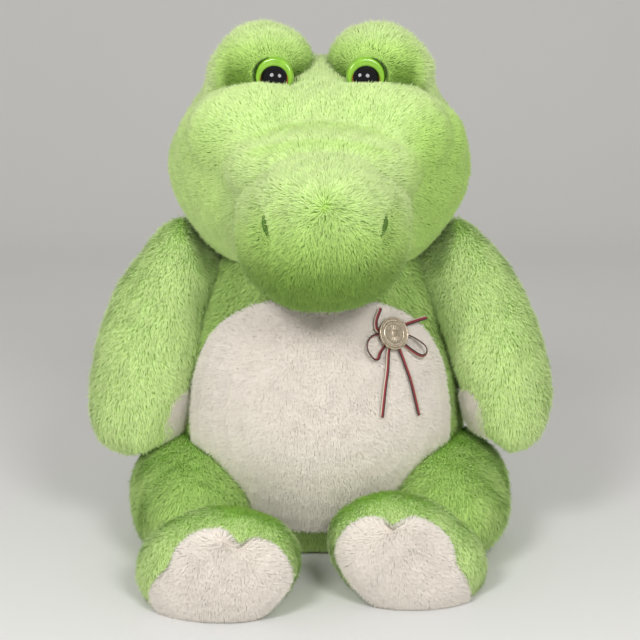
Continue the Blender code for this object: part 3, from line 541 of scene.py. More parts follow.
@dataclass(frozen=True)
class EyeFinish(Finish):
    """A glossy doll's eye: a wide black pupil in an amber iris.

    Attributes:
        amber: Light colour of the iris.
        brown: Dark colour of the iris.
        edge: Colour of the eye's outer edge.
        black: Colour of the pupil.
        pupil: Radius of the pupil as a share of the eye's.
        fibres: How many fibres the iris has.
        soft: Half the width over which the pupil turns to the iris.
    """

    amber: Colour = (0.62, 0.26, 0.06, 1)
    brown: Colour = (0.16, 0.05, 0.015, 1)
    edge: Colour = (0.02, 0.01, 0.005, 1)
    black: Colour = (0.004, 0.004, 0.005, 1)
    pupil: float = 0.84
    fibres: float = 46.0
    soft: float = 0.02

    def lay_out(self, graph: Graph, groups: SharedGroups) -> dict:
        """Colour the dome by the distance from the eye's own axis."""
        axes = graph.axes(graph.own_map())
        across, upward = [graph.math("MULTIPLY", graph.math("SUBTRACT", axes[name], 0.5), 2.0)
                          for name in "XY"]
        squares = [graph.math("MULTIPLY", way, way) for way in (across, upward)]
        reach = graph.math("SQRT", graph.math("ADD", *squares))
        angle = graph.math("ARCTAN2", upward, across)
        ray = graph.math("SINE", graph.math("MULTIPLY", angle, self.fibres))
        iris = graph.blend(graph.ramp(ray, -1.0, 1.0), self.brown, self.amber)
        rim = graph.blend(graph.ramp(reach, 0.9, 1.0), iris, self.edge)
        outside = graph.ramp(reach, self.pupil - self.soft, self.pupil + self.soft)
        return {"Base Color": graph.blend(outside, self.black, rim), "Roughness": 0.06,
                "Specular IOR Level": 0.35}


GREEN_TIP: Colour = (0.73, 0.90, 0.41, 1)
GREEN_PILE = PileFinish("green_pile", (0.40, 0.65, 0.12, 1), (0.57, 0.83, 0.23, 1), GREEN_TIP)
# A darker copy of the green pile: painted shade for the pile that lies in shade.
SHADED_GREEN_PILE = PileFinish("parted_green_pile", (0.15, 0.29, 0.03, 1), (0.52, 0.77, 0.20, 1), GREEN_TIP,
                         variety=0.22)
WHITE_PILE = PileFinish("white_pile", (0.88, 0.80, 0.71, 1), (0.93, 0.86, 0.77, 1), (0.95, 0.89, 0.80, 1),
                        variety=0.04)
GREEN_BACKING = BackingFinish("green_backing", (0.50, 0.76, 0.18, 1), (0.32, 0.54, 0.10, 1))
WHITE_BACKING = BackingFinish("white_backing", (0.87, 0.80, 0.71, 1), (0.76, 0.69, 0.61, 1))
LID_PLASTIC = MouldedFinish("lid_plastic", (0.27, 0.55, 0.035, 1), (0.22, 0.48, 0.025, 1), 0.22, coat=0.6)
WASHER_PLASTIC = MouldedFinish("washer_plastic_dressed", (0.75, 0.76, 0.74, 1), (0.66, 0.68, 0.66, 1), 0.35)
GOLD = MetalFinish("worn_gold", (0.86, 0.74, 0.56, 1), (0.36, 0.30, 0.22, 1), 0.25)
STEEL = MetalFinish("plated_steel", (0.72, 0.72, 0.73, 1), (0.42, 0.42, 0.43, 1), 0.22)
RIBBON = RibbonFinish("striped_ribbon", (0.72, 0.62, 0.48, 1), (0.30, 0.02, 0.03, 1),
                      (0.02, 0.015, 0.015, 1))
GREEN_THREAD = ThreadFinish("green_thread_dressed", (0.13, 0.33, 0.02, 1), (0.012, 0.035, 0.003, 1))
EYE_GLOSS = EyeFinish("eye_gloss")


def mesh_object(name: str, places: Rows, faces: Sequence[Sequence[int]], uv: Rows | None = None
                ) -> bpy.types.Object:
    """Make a smoothly shaded object from places and faces.

    Args:
        name: Name of the piece.
        places: Vertex places, one a row.
        faces: Vertex numbers of each face.
        uv: A map place for each vertex, or None for no map.

    Returns:
        The new object, linked to the scene.
    """
    mesh = bpy.data.meshes.new(name)
    mesh.from_pydata([tuple(place) for place in places], [], [tuple(face) for face in faces])
    if uv is not None:
        layer = mesh.uv_layers.new(name=BAKE_MAP)
        corners = np.empty(len(mesh.loops), dtype=np.int32)
        mesh.loops.foreach_get("vertex_index", corners)
        layer.data.foreach_set("uv", np.asarray(uv, dtype=np.float32)[corners].ravel())
    mesh.polygons.foreach_set("use_smooth", [True] * len(mesh.polygons))
    mesh.update()
    piece = bpy.data.objects.new(name, mesh)
    bpy.context.scene.collection.objects.link(piece)
    return piece


class Workshop:
    def __init__(self) -> None:
        """Build the shared shader groups."""
        self.groups = SharedGroups()

    def dress(self, piece: bpy.types.Object, finish: Finish, body: str, slot: Slot,
              replaced: Sequence[str] = ()) -> bpy.types.Object:
        """Give a new piece its material, its body and the nodes that it stands for.

        Args:
            piece: The new piece.
            finish: Its finish.
            body: The body that it moves with.
            slot: Not used.
            replaced: The part's nodes that it replaces.

        Returns:
            The piece.
        """
        piece.data.materials.clear()
        piece.data.materials.append(finish.material(self.groups))
        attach(piece, body)
        if replaced:
            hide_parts(*replaced)
        LOG.info("%s rides on %s", piece.name, body)
        return piece

    def refinish(self, node: str, finish: Finish) -> None:
        """Give a node of the part that stays its better material."""
        material = finish.material(self.groups)
        for slot in bpy.data.objects[node].material_slots:
            slot.material = material
        LOG.info("%s keeps its solid", node)


@dataclass
class Skin:
    """A softened copy of a stuffed solid, with the numbers that its pile needs.

    Attributes:
        node: The part's node that it replaces.
        body: The body that it moves with.
        voxel: Size of the remesh.
        softening: How often the mesh is smoothed.
        lump: Height of the soft unevenness of the filling.
        shaping: Further offsets by place and normal, as vectors.
        pads: Frames of unit balls that are filled into the form before it is remeshed.
        piece: The finished object.
        places: Its vertex places.
        normals: Its vertex normals.
        triangles: Vertex numbers of its triangles.
    """

    node: str
    body: str
    voxel: float = 0.003
    softening: int = 8
    lump: float = 0.0010
    shaping: Callable[[Rows, Rows], Rows] | None = None
    pads: Sequence[Matrix] = ()
    piece: bpy.types.Object = field(init=False)
    places: Rows = field(init=False)
    normals: Rows = field(init=False)
    triangles: Rows = field(init=False)

    def make(self) -> Skin:
        """Remesh, smooth and swell a copy of the node's mesh.

        Returns:
            The skin itself.
        """
        source = bpy.data.objects[self.node]
        shape = bmesh.new()
        shape.from_mesh(source.data)
        for pad in self.pads:
            bmesh.ops.create_icosphere(shape, subdivisions=4, radius=1.0, matrix=pad)
        filled = bpy.data.meshes.new("rough_" + self.node)
        shape.to_mesh(filled)
        shape.free()
        rough = bpy.data.objects.new("rough_" + self.node, filled)
        bpy.context.scene.collection.objects.link(rough)
        remesh = rough.modifiers.new("remesh", "REMESH")
        remesh.mode = "VOXEL"
        remesh.voxel_size = self.voxel
        smooth = rough.modifiers.new("smooth", "SMOOTH")
        smooth.factor = 0.5
        smooth.iterations = self.softening
        ready = rough.evaluated_get(bpy.context.evaluated_depsgraph_get())
        mesh = bpy.data.meshes.new_from_object(ready)
        bpy.data.objects.remove(rough)
        mesh.name = self.node + "_skin"
        self.read(mesh)
        moved = self.places + self.normals * (self.lump * FILLING.values(self.places))[:, None]
        if self.shaping is not None:
            moved += self.shaping(self.places, self.normals)
        moved[:, 2] = np.maximum(moved[:, 2], 0.0)
        mesh.vertices.foreach_set("co", moved.astype(np.float32).ravel())
        mesh.polygons.foreach_set("use_smooth", [True] * len(mesh.polygons))
        mesh.update()
        self.read(mesh)
        self.piece = bpy.data.objects.new(self.node + "_skin", mesh)
        bpy.context.scene.collection.objects.link(self.piece)
        return self

    def read(self, mesh: bpy.types.Mesh) -> None:
        """Keep the mesh's places, normals and triangles."""
        count = len(mesh.vertices)
        places = np.empty(count * 3, dtype=np.float32)
        mesh.vertices.foreach_get("co", places)
        self.places = places.reshape(-1, 3).astype(float)
        normals = np.empty(count * 3, dtype=np.float32)
        mesh.vertex_normals.foreach_get("vector", normals)
        self.normals = unit(normals.reshape(-1, 3).astype(float))
        mesh.calc_loop_triangles()
        triangles = np.empty(len(mesh.loop_triangles) * 3, dtype=np.int32)
        mesh.loop_triangles.foreach_get("vertices", triangles)
        self.triangles = triangles.reshape(-1, 3)

    def tree(self) -> BVHTree:
        """A search tree of the skin's triangles."""
        return BVHTree.FromPolygons(self.places.tolist(), self.triangles.tolist())


@dataclass
class Obstacle:
    """Something that the pile must stay clear of.

    Attributes:
        name: Name of its node.
        body: The body that it moves with.
        trim: Whether it is trim, which no blade may cross, and not plush.
        tree: Search tree of its surface.
        low: Lowest corner of its box.
        high: Highest corner of its box.
    """

    name: str
    body: str
    trim: bool
    tree: BVHTree
    low: Rows
    high: Rows


@dataclass(frozen=True)
class Pile:
    """How the pile of one piece stands.

    Attributes:
        comb: Gives the direction that the pile is combed in at each root.
        finish: Its finish.
        slot: The record's slot.
        length: Length of a blade.
        width: Width of a blade at its root.
        density: Blades in a square metre.
        lean: Angle of a blade from the surface's normal.
        unrest: How much single blades stray, as a share of their length.
        clump: How much tips draw together, as a share of their length.
        facing: How much a blade is shaded by its own facing and not by the skin's.
        clear: Gives a share from 0 to 1 by which the length at each root is kept, or None.
        painted_shade: Gives the painted shade at each root, a share from 0 to 1 by which its colour turns
            to the root's, or None.
    """

    comb: Field
    finish: PileFinish
    slot: Slot
    length: float = 0.0064
    width: float = 0.00052
    density: float = 1.9e6
    lean: float = math.radians(54)
    unrest: float = 0.15
    clump: float = 0.09
    facing: float = 0.20
    clear: Callable[[Rows], Rows] | None = None
    painted_shade: Callable[[Rows], Rows] | None = None


class Shearer:
    """Grows the pile on the skins and keeps it clear of what lies near.

    Attributes:
        REACH: How far it looks for what lies near.
        START: How far from the skin it starts to look.
        SLANT: A second direction for the test of what lies inside a form.
        LEAST_ROOM: Room to the trim under which no blade grows.
        LEAST_BLADE: Length that neighbouring plush leaves to a blade.
        TRIM_SHARE: Share of the room to the trim that a blade may fill.
        PLUSH_SHARE: Share of the room to other plush that it may fill.
        LENGTHS: Least share of the pile's length, and how much chance adds to it.
        LEAST_KEPT: Kept share of the length under which no blade grows.
        MOST_BURIED: Share of being inside another form over which no blade grows.
        SWIRL: How far the comb turns in swirls.
        LEAN_DRIFT: How far the lean changes over the skin, in radians.
        LEAN_CHANCE: How far it changes by chance.
        LEAN_LIMITS: The least and the most lean.
        STRAYS: Share of the blades that stray.
        STRAY_LIFT: How much less a stray blade leans.
        STRAY_EXTRA: How much longer it is, as a share.
        LEAST_RISE: Least rise of a blade out of the skin, as a share of its length.
        TWIST: Chance in the blades' facing, as a share of their unrest.
        WIDTHS: Least share of the pile's width, and how much chance adds to it.
        BOW: How much a blade rises at its root.
        DROOP: How much it falls at its tip.
        TONE_PATCH: Difference of tone over the skin.
        TONE_CLUMP: Difference of tone between clumps.
        TONE_CHANCE: Difference of tone by chance.
        TONE_LIMITS: The darkest and the brightest tone.
    """

    REACH = 0.012
    START = 0.0004
    SLANT: Point = (0.31, -0.57, 0.76)
    LEAST_ROOM = 0.0011
    LEAST_BLADE = 0.0022
    TRIM_SHARE = 0.95
    PLUSH_SHARE = 0.9
    LENGTHS = (0.75, 0.45)
    LEAST_KEPT = 0.12
    MOST_BURIED = 0.6
    SWIRL = 0.22
    LEAN_DRIFT = 0.07
    LEAN_CHANCE = 0.12
    LEAN_LIMITS = (0.15, 1.38)
    STRAYS = 0.04
    STRAY_LIFT = 0.2
    STRAY_EXTRA = 0.3
    LEAST_RISE = 0.12
    TWIST = 0.8
    WIDTHS = (0.75, 0.5)
    BOW = 0.32
    DROOP = 0.22
    TONE_PATCH = 0.10
    TONE_CLUMP = 0.06
    TONE_CHANCE = 0.12
    TONE_LIMITS = (0.04, 0.96)

    def __init__(self, workshop: Workshop) -> None:
        """Take the workshop that dresses the pieces."""
        self.workshop = workshop
        self.obstacles: list[Obstacle] = []

    def note(self, name: str, body: str, places: Rows, triangles: Rows, trim: bool = False) -> None:
        """Remember a surface that the pile must stay clear of."""
        tree = BVHTree.FromPolygons(places.tolist(), triangles.tolist())
        self.obstacles.append(Obstacle(name, body, trim, tree, places.min(axis=0), places.max(axis=0)))

    def note_piece(self, piece: bpy.types.Object, name: str, body: str) -> None:
        """Remember a finished piece of trim as a surface to stay clear of."""
        mesh = piece.data
        mesh.calc_loop_triangles()
        places = np.array([vertex.co[:] for vertex in mesh.vertices])
        triangles = np.array([triangle.vertices[:] for triangle in mesh.loop_triangles])
        self.note(name, body, places, triangles, True)

    def room(self, skin: Skin, ways: Rows, trim: bool) -> Rows:
        """Measure how far it is to the nearest other surface.

        Args:
            skin: The skin that the pile grows on.
            ways: Unit direction at each of its vertices.
            trim: Whether to look at the trim or at the plush.

        Returns:
            The room at each vertex, at most REACH.
        """
        room = np.full(len(skin.places), self.REACH)
        for other in self.obstacles:
            if other.name == skin.node or other.trim != trim:
                continue
            low, high = other.low - self.REACH, other.high + self.REACH
            near = np.all((skin.places > low) & (skin.places < high), axis=1)
            for index in np.nonzero(near)[0]:
                start = Vector(skin.places[index] + skin.normals[index] * self.START)
                hit = other.tree.ray_cast(start, Vector(ways[index]), self.REACH)
                if hit[3] is not None and hit[3] < room[index]:
                    room[index] = hit[3]
        return room

    def buried(self, skin: Skin) -> Rows:
        """Find the vertices that lie inside the other forms of the same body.

        Args:
            skin: The skin that the pile grows on.

        Returns:
            1 at each vertex that is inside and 0 at each that lies free.
        """
        inside = np.zeros(len(skin.places))
        for other in self.obstacles:
            if other.name == skin.node or other.trim or other.body != skin.body:
                continue
            near = np.all((skin.places > other.low) & (skin.places < other.high), axis=1)
            for index in np.nonzero(near)[0]:
                place = Vector(skin.places[index])
                ways = (Vector(skin.normals[index]), Vector(self.SLANT))
                hits = [(other.tree.ray_cast(place, way), way) for way in ways]
                leaves = [hit[1] is not None and hit[3] > self.START and hit[1].dot(way) > 0
                          for hit, way in hits]
                inside[index] = max(inside[index], float(all(leaves)))
        return inside

    def grow(self, skin: Skin, pile: Pile, name: str, seed: int) -> list[bpy.types.Object]:
        """Grow the pile of one skin.

        Args:
            skin: The skin.
            pile: How its pile stands.
            name: First part of the names of its pieces.
            seed: Seed of the blades' places and angles.

        Returns:
            The pieces of the pile.
        """
        rng = np.random.default_rng(seed)
        corners = skin.places[skin.triangles]
        edges = corners[:, 1:] - corners[:, :1]
        areas = np.linalg.norm(np.cross(edges[:, 0], edges[:, 1]), axis=1) / 2
        count = int(areas.sum() * pile.density)
        marks = (np.arange(count) + rng.random(count)) * areas.sum() / count
        owner = np.minimum(np.searchsorted(np.cumsum(areas), marks), len(areas) - 1)
        one, two = rng.random((2, count))
        root_one = np.sqrt(one)
        shares = np.stack((1 - root_one, root_one * (1 - two), root_one * two), axis=1)[:, :, None]
        numbers = skin.triangles[owner]

        leaning = unit(skin.normals * math.cos(pile.lean)
                       + pile.comb(skin.places, skin.normals) * math.sin(pile.lean))
        looks = ((skin.normals, math.cos(pile.lean)), (leaning, 1.0))
        rooms = np.stack([self.room(skin, ways, trim) / slope for trim in (True, False)
                          for ways, slope in looks], axis=1)
        inside = (self.buried(skin)[numbers] * shares[:, :, 0]).sum(axis=1)
        roots = (skin.places[numbers] * shares).sum(axis=1)
        normals = unit((skin.normals[numbers] * shares).sum(axis=1))
        rooms = (rooms[numbers] * shares).sum(axis=1)

        hard, soft = rooms[:, :2].min(axis=1), rooms[:, 2:].min(axis=1)
        kept = np.ones(count) if pile.clear is None else pile.clear(roots)
        wanted = pile.length * (self.LENGTHS[0] + self.LENGTHS[1] * rng.random(count)) * kept
        soft = np.maximum(soft * self.PLUSH_SHARE, self.LEAST_BLADE)
        lengths = np.minimum(wanted, np.minimum(hard * self.TRIM_SHARE, soft))
        stay = (hard > self.LEAST_ROOM) & (kept > self.LEAST_KEPT) & (inside < self.MOST_BURIED)
        roots, normals, lengths = roots[stay], normals[stay], lengths[stay]
        return self.shape_blades(skin, pile, name, roots, normals, lengths, rng)

    def shape_blades(self, skin: Skin, pile: Pile, name: str, roots: Rows, normals: Rows, lengths: Rows,
                     rng: np.random.Generator) -> list[bpy.types.Object]:
        """Turn roots into tapered blades.

        Args:
            skin: The skin.
            pile: How its pile stands.
            name: First part of the pieces' names.
            roots: Roots of the blades.
            normals: Skin normals there.
            lengths: Length of each blade.
            rng: The source of chance.

        Returns:
            The pieces of the pile.
        """
        count = len(roots)
        comb = pile.comb(roots, normals)
        swirl = SWIRLS.values(roots)[:, None] * self.SWIRL
        comb = unit(comb + np.cross(normals, comb) * swirl)
        lean = pile.lean + self.LEAN_DRIFT * LEANINGS.values(roots)
        lean = lean + self.LEAN_CHANCE * rng.normal(size=count)
        stray = rng.random(count) < self.STRAYS
        lean = np.clip(lean - self.STRAY_LIFT * stray, *self.LEAN_LIMITS)[:, None]
        ways = normals * np.cos(lean) + comb * np.sin(lean)
        ways += pile.unrest * rng.normal(size=(count, 3))
        gather = CLUMPS.slopes(roots)
        ways += pile.clump * along_skin(gather, normals) * np.minimum(
            1.0, np.linalg.norm(gather, axis=1, keepdims=True))
        ways = unit(ways)
        ways = unit(ways + normals * np.maximum(self.LEAST_RISE - dots(ways, normals), 0.0))
        across = unit(np.cross(normals, ways) + self.TWIST * pile.unrest * rng.normal(size=(count, 3)))
        across = unit(across - ways * dots(across, ways))
        across *= np.where(dots(np.cross(across, ways), normals) < 0, -1.0, 1.0)
        half = across * (pile.width / 2 * (self.WIDTHS[0] + self.WIDTHS[1] * rng.random((count, 1))))
        reach = (lengths * (1 + self.STRAY_EXTRA * stray))[:, None]
        low = roots - normals * GAP
        middle = roots + unit(ways + normals * self.BOW) * reach * BLADE_MIDDLE
        tips = middle + unit(ways - normals * self.DROOP) * reach * (1 - BLADE_MIDDLE)
        blades = np.stack((low, middle - half, middle + half, tips), axis=1)
        blades[:, :3, 2] = np.maximum(blades[:, :3, 2], 0.0)
        blades[:, 3, 2] = np.maximum(blades[:, 3, 2], GAP)
        facing = unit(np.cross(across, ways))
        shading = unit(facing * pile.facing + normals * (1 - pile.facing))
        tone = 0.5 + self.TONE_PATCH * TONES.values(roots) + self.TONE_CLUMP * CLUMPS.values(roots)
        tone = np.clip(tone + self.TONE_CHANCE * rng.normal(size=count), *self.TONE_LIMITS)
        # Painted shade at each root, by its place on the skin.
        painted_shade = np.zeros(count) if pile.painted_shade is None else pile.painted_shade(roots)
        LOG.info("%s grows %d blades", name, count)
        pieces = []
        parts = max(1, math.ceil(count / BLADES_A_PIECE))
        for part, chosen in enumerate(np.array_split(np.arange(count), parts)):
            piece = blade_object(f"{name}_pile_{part + 1}", blades[chosen], shading[chosen], tone[chosen],
                                 painted_shade[chosen])
            pieces.append(self.workshop.dress(piece, pile.finish, skin.body, pile.slot))
        return pieces


def blade_object(name: str, blades: Rows, shading: Rows, tone: Rows, painted_shade: Rows) -> bpy.types.Object:
    """Make one object of many tapered blades.

    Args:
        name: Name of the piece.
        blades: Root, left, right and tip of each blade.
        shading: Shading normal of each blade.
        tone: Tone of each blade, from 0 to 1.
        painted_shade: Painted shade, the share by which each blade's colour turns to the root's.

    Returns:
        The new object.
    """
    count = len(blades)
    mesh = bpy.data.meshes.new(name)
    mesh.vertices.add(count * 4)
    mesh.vertices.foreach_set("co", blades.astype(np.float32).ravel())
    pattern = np.array((0, 2, 1, 1, 2, 3), dtype=np.int32)
    corners = (np.arange(count, dtype=np.int32)[:, None] * 4 + pattern).ravel()
    mesh.loops.add(count * 6)
    mesh.loops.foreach_set("vertex_index", corners)
    mesh.polygons.add(count * 2)
    mesh.polygons.foreach_set("loop_start", np.arange(0, count * 6, 3, dtype=np.int32))
    mesh.polygons.foreach_set("use_smooth", np.ones(count * 2, dtype=bool))
    mesh.update(calc_edges=True)
    layer = mesh.uv_layers.new(name=BAKE_MAP)
    uv = np.zeros((count, 4, 2), dtype=np.float32)
    uv[:, :, 0] = tone[:, None] + np.array((0.0, -0.03, 0.03, 0.0))
    # The map's height carries the painted shade: a shaded blade runs only part way from its root colour to
    # its tip colour.
    uv[:, :, 1] = (1 - painted_shade)[:, None] * np.array((0.0, BLADE_MIDDLE, BLADE_MIDDLE, 1.0))
    layer.data.foreach_set("uv", uv.reshape(-1, 2)[corners].ravel())
    mesh.normals_split_custom_set_from_vertices(np.repeat(shading, 4, axis=0).astype(np.float32))
    piece = bpy.data.objects.new(name, mesh)
    bpy.context.scene.collection.objects.link(piece)
    return piece


def comb_to(way: Point) -> Field:
    """Pile that is combed one way all over."""

    def comb(places: Rows, normals: Rows) -> Rows:
        """Lay the way down on the surface."""
        return along_skin(np.tile(way, (len(places), 1)), normals)

    return comb


comb_down = comb_to(DOWN)


def comb_from(centre: Point, drop: float = 0.0, turn_down_behind: float | None = None) -> Field:
    """Pile that runs away from a centre.

    Args:
        centre: The place that the pile leaves on all sides.
        drop: Share of plain downward comb that is added.
        turn_down_behind: Where Y passes this the pile turns to hang down, or None.

    Returns:
        The comb.
    """
    full_drop, before, after = 2.2, 0.03, 0.05

    def comb(places: Rows, normals: Rows) -> Rows:
        """Mix the outward and the downward comb."""
        outward = along_skin(places - np.array(centre), normals)
        share = np.full((len(places), 1), drop)
        if turn_down_behind is not None:
            start, end = turn_down_behind - before, turn_down_behind + after
            share = share + full_drop * smooth_step(places[:, 1:2], start, end)
        return along_skin(outward + np.array(DOWN) * share, normals)

    return comb


def comb_to_rim(centre: Point, radius: float) -> Field:
    """Pile that hangs down and turns outward near a panel's rim.

    Args:
        centre: Middle of the panel.
        radius: About how far its rim is from there.

    Returns:
        The comb.
    """
    most, start = 1.6, 0.45

    def comb(places: Rows, normals: Rows) -> Rows:
        """Mix the downward comb with the outward one."""
        outward = places - np.array(centre)
        reach = np.linalg.norm(outward, axis=1, keepdims=True)
        share = most * smooth_step(reach, start * radius, radius)
        return along_skin(outward / np.maximum(reach, GAP) * share + np.array(DOWN), normals)

    return comb


def even_share(share: float) -> Callable[[Rows], Rows]:
    """A share that is the same all over."""

    def give(places: Rows) -> Rows:
        """Repeat it for each place."""
        return np.full(len(places), share)

    return give


def course(points: Sequence[Vector], index: int) -> Vector:
    """Way of a line at one of its points, from the point before to the point after."""
    return points[min(index + 1, len(points) - 1)] - points[max(index - 1, 0)]


def tube_faces(start: int, rings: int, sides: int, flipped: bool = False) -> list[tuple[int, ...]]:
    """Faces of a closed tube whose rings of vertices follow one another.

    Args:
        start: Number of the first vertex.
        rings: Number of rings.
        sides: Vertices in a ring.
        flipped: Whether the rings run the other way round, so that the faces are turned over.

    Returns:
        The faces of the wall and of the two ends.
    """
    faces = []
    for ring in range(rings - 1):
        low, high = start + ring * sides, start + (ring + 1) * sides
        for step in range(sides):
            after = (step + 1) % sides
            wall = (low + step, low + after, high + after, high + step)
            faces.append((wall[0], *reversed(wall[1:])) if flipped else wall)
    last = start + (rings - 1) * sides
    first_end = tuple(start + step for step in range(sides))
    last_end = tuple(last + step for step in range(sides))
    faces.append(first_end if flipped else first_end[::-1])
    faces.append(last_end[::-1] if flipped else last_end)
    return faces


def ball_frame(centre: Point, radii: Point, tilt: float = 0.0) -> Matrix:
    """Frame of a unit ball that is stretched along its axes and tilted about Y.

    Args:
        centre: Middle of the ball.
        radii: Its three radii.
        tilt: Its turn about Y.

    Returns:
        The frame.
    """
    return Matrix.Translation(centre) @ Matrix.Rotation(tilt, 4, "Y") @ Matrix.Diagonal((*radii, 1.0))


def draw_in(depth: float) -> Field:
    """Shaping that sinks a whole skin, to leave room for its pile."""

    def shape(places: Rows, normals: Rows) -> Rows:
        """Go in along the normals."""
        return -depth * normals

    return shape


@dataclass(frozen=True)
class EyeSet:
    """The two eyes with their lids, and where the pile must leave them free.

    Attributes:
        spread: Middle of an eye out from the middle of the head.
        depth: Its Y.
        height: Its Z.
        pitch: How far it looks up.
        yaw: How far it looks outward.
        radius: Radius of the dome.
        dome: Height of the dome.
        shank_radius: Radius of the shank.
        shank_length: Length of the shank.
        lid_width: Width of the lid at its top.
        lid_hood: How far its outer edge is moved up.
        lid_height: Height of the lid.
        lid_lip: How far the lid's top reaches in over the dome.
        lid_low: Share of the lid's height that is left at its bottom.
        lid_thin: Share of its width that is left there.
        lid_section: Outward, inward-lip and height shares of the points round the lid's section.
        shortest: Share of the pile's length that is kept at the lid's rim.
        clearing: How far out from the rim the pile is full again.
        clear_depth: Between these places along the eye's axis the clearing begins.
        clear_height: Between these heights, from the eye's middle, it begins.
    """

    spread: float = 0.0350
    depth: float = -0.0808
    height: float = 0.38797
    pitch: float = math.radians(10)
    yaw: float = math.radians(6)
    radius: float = 0.0122
    dome: float = 0.0085
    shank_radius: float = 0.0028
    shank_length: float = 0.0085
    lid_width: float = 0.0040
    lid_hood: float = 0.0003
    lid_height: float = 0.0070
    lid_lip: float = 0.0034
    lid_low: float = 0.55
    lid_thin: float = 0.20
    lid_section: tuple[tuple[float, float, float], ...] = (
        (0.0, 0.0, 0.0), (0.0, 0.0, 0.30), (0.0, 0.9, 0.66), (0.0, 1.0, 0.74), (0.0, 0.9, 0.82),
        (0.05, 0.5, 0.92), (0.20, 0.1, 0.99), (0.38, 0.0, 1.0), (0.58, 0.0, 0.93), (0.78, 0.0, 0.76),
        (0.92, 0.0, 0.50), (1.0, 0.0, 0.22), (1.0, 0.0, 0.0))
    shortest: float = 0.3
    clearing: float = 0.009
    clear_depth: tuple[float, float] = (-0.010, -0.004)
    clear_height: tuple[float, float] = (-0.010, -0.002)

    def matrix(self, side: Side) -> Matrix:
        """Matrix of an eye: +Z looks out, +Y is up, the origin is on the flat back.

        Args:
            side: Which eye.

        Returns:
            The eye's frame.
        """
        place = Matrix.Translation((side.value * self.spread, self.depth, self.height))
        turn = Matrix.Rotation(side.value * self.yaw, 4, "Z")
        return place @ turn @ Matrix.Rotation(math.pi / 2 - self.pitch, 4, "X")

    def locals_of(self, places: Rows, side: Side) -> Rows:
        """Places in an eye's own frame."""
        back = np.array(self.matrix(side).inverted())
        return places @ back[:3, :3].T + back[:3, 3]

    def make_eye(self, workshop: Workshop, side: Side) -> bpy.types.Object:
        """The dome with its shank.

        Args:
            workshop: Dresses the piece.
            side: Which eye.

        Returns:
            The eye.
        """
        steps, sides = 14, 56
        turns = [math.pi / 2 * step / steps for step in range(steps)]
        profile = [(0.0, -self.shank_length), (self.shank_radius, -self.shank_length)]
        profile += [(self.shank_radius, 0.0)]
        profile += [(self.radius * math.cos(turn), self.dome * math.sin(turn)) for turn in turns]
        profile += [(0.0, self.dome)]
        places, faces = turned_rows(profile, sides)
        uv = places[:, :2] / (2 * self.radius) + 0.5
        piece = mesh_object("eye_dome_" + side.word, places, faces, uv)
        piece.data.transform(self.matrix(side))
        piece.data.set_sharp_from_angle(angle=SHARP)
        return workshop.dress(piece, EYE_GLOSS, "head", Slot.EYE, ["eye_" + side.word])

    def make_lid(self, workshop: Workshop, side: Side) -> bpy.types.Object:
        """The glossy ring round the eye, thickest at its top.

        Args:
            workshop: Dresses the piece.
            side: Which eye.

        Returns:
            The lid.
        """
        inner = self.radius + GAP
        sides, count = 64, len(self.lid_section)
        places = []
        for index in range(sides):
            angle = 2 * math.pi * index / sides
            way = Vector((math.cos(angle), math.sin(angle), 0))
            top = (1 + math.sin(angle)) / 2
            near = way * inner
            far = way * (inner + self.lid_width * (self.lid_thin + (1 - self.lid_thin) * top))
            far += Vector((0, self.lid_hood, 0))
            lip = way * (self.lid_lip * top)
            rise = self.lid_height * (self.lid_low + (1 - self.lid_low) * top)
            places += [near.lerp(far, out) - lip * over + Vector((0, 0, rise * up))
                       for out, over, up in self.lid_section]
        faces = []
        for index in range(sides):
            here, there = index * count, (index + 1) % sides * count
            for step in range(count):
                after = (step + 1) % count
                faces.append((here + step, there + step, there + after, here + after))
        piece = mesh_object("lid_" + side.word, np.array([place[:] for place in places]), faces)
        piece.data.transform(self.matrix(side))
        return workshop.dress(piece, LID_PLASTIC, "head", Slot.LID, ["eyelid_" + side.word])

    def clear(self, places: Rows) -> Rows:
        """How much of the pile's length is kept near the eyes.

        Args:
            places: Roots of the pile.

        Returns:
            A share from 0 to 1 for each root.
        """
        kept = np.ones(len(places))
        rim = self.radius + self.lid_width
        for side in Side:
            local = self.locals_of(places, side)
            reach = np.hypot(local[:, 0], local[:, 1] - self.lid_hood / 2)
            before = smooth_step(local[:, 2], *self.clear_depth)
            above = smooth_step(local[:, 1], *self.clear_height)
            share = self.shortest + (1 - self.shortest) * smooth_step(reach, rim, rim + self.clearing)
            kept = np.minimum(kept, 1 - before * above * (1 - share))
        return kept


def turned_rows(profile: Sequence[tuple[float, float]], sides: int,
                relief: Callable[[float, float], float] | None = None
                ) -> tuple[Rows, list[tuple[int, ...]]]:
    """Turn a profile about Z.

    Args:
        profile: Radius and height of each point; the first and last are on the axis.
        sides: Sides of the turned body.
        relief: Height to add by radius and angle, or None.

    Returns:
        Vertex places and faces.
    """
    places = [(0.0, 0.0, profile[0][1])]
    for radius, height in profile[1:-1]:
        for index in range(sides):
            angle = 2 * math.pi * index / sides
            lift = 0.0 if relief is None else relief(radius, angle)
            places.append((radius * math.cos(angle), radius * math.sin(angle), height + lift))
    places.append((0.0, 0.0, profile[-1][1]))
    rings = len(profile) - 2
    last = len(places) - 1
    faces: list[tuple[int, ...]] = []
    for index in range(sides):
        after = (index + 1) % sides
        faces.append((0, 1 + after, 1 + index))
        for ring in range(rings - 1):
            low, high = 1 + ring * sides, 1 + (ring + 1) * sides
            faces.append((low + index, low + after, high + after, high + index))
        top = 1 + (rings - 1) * sides
        faces.append((top + index, top + after, last))
    return np.array(places), faces


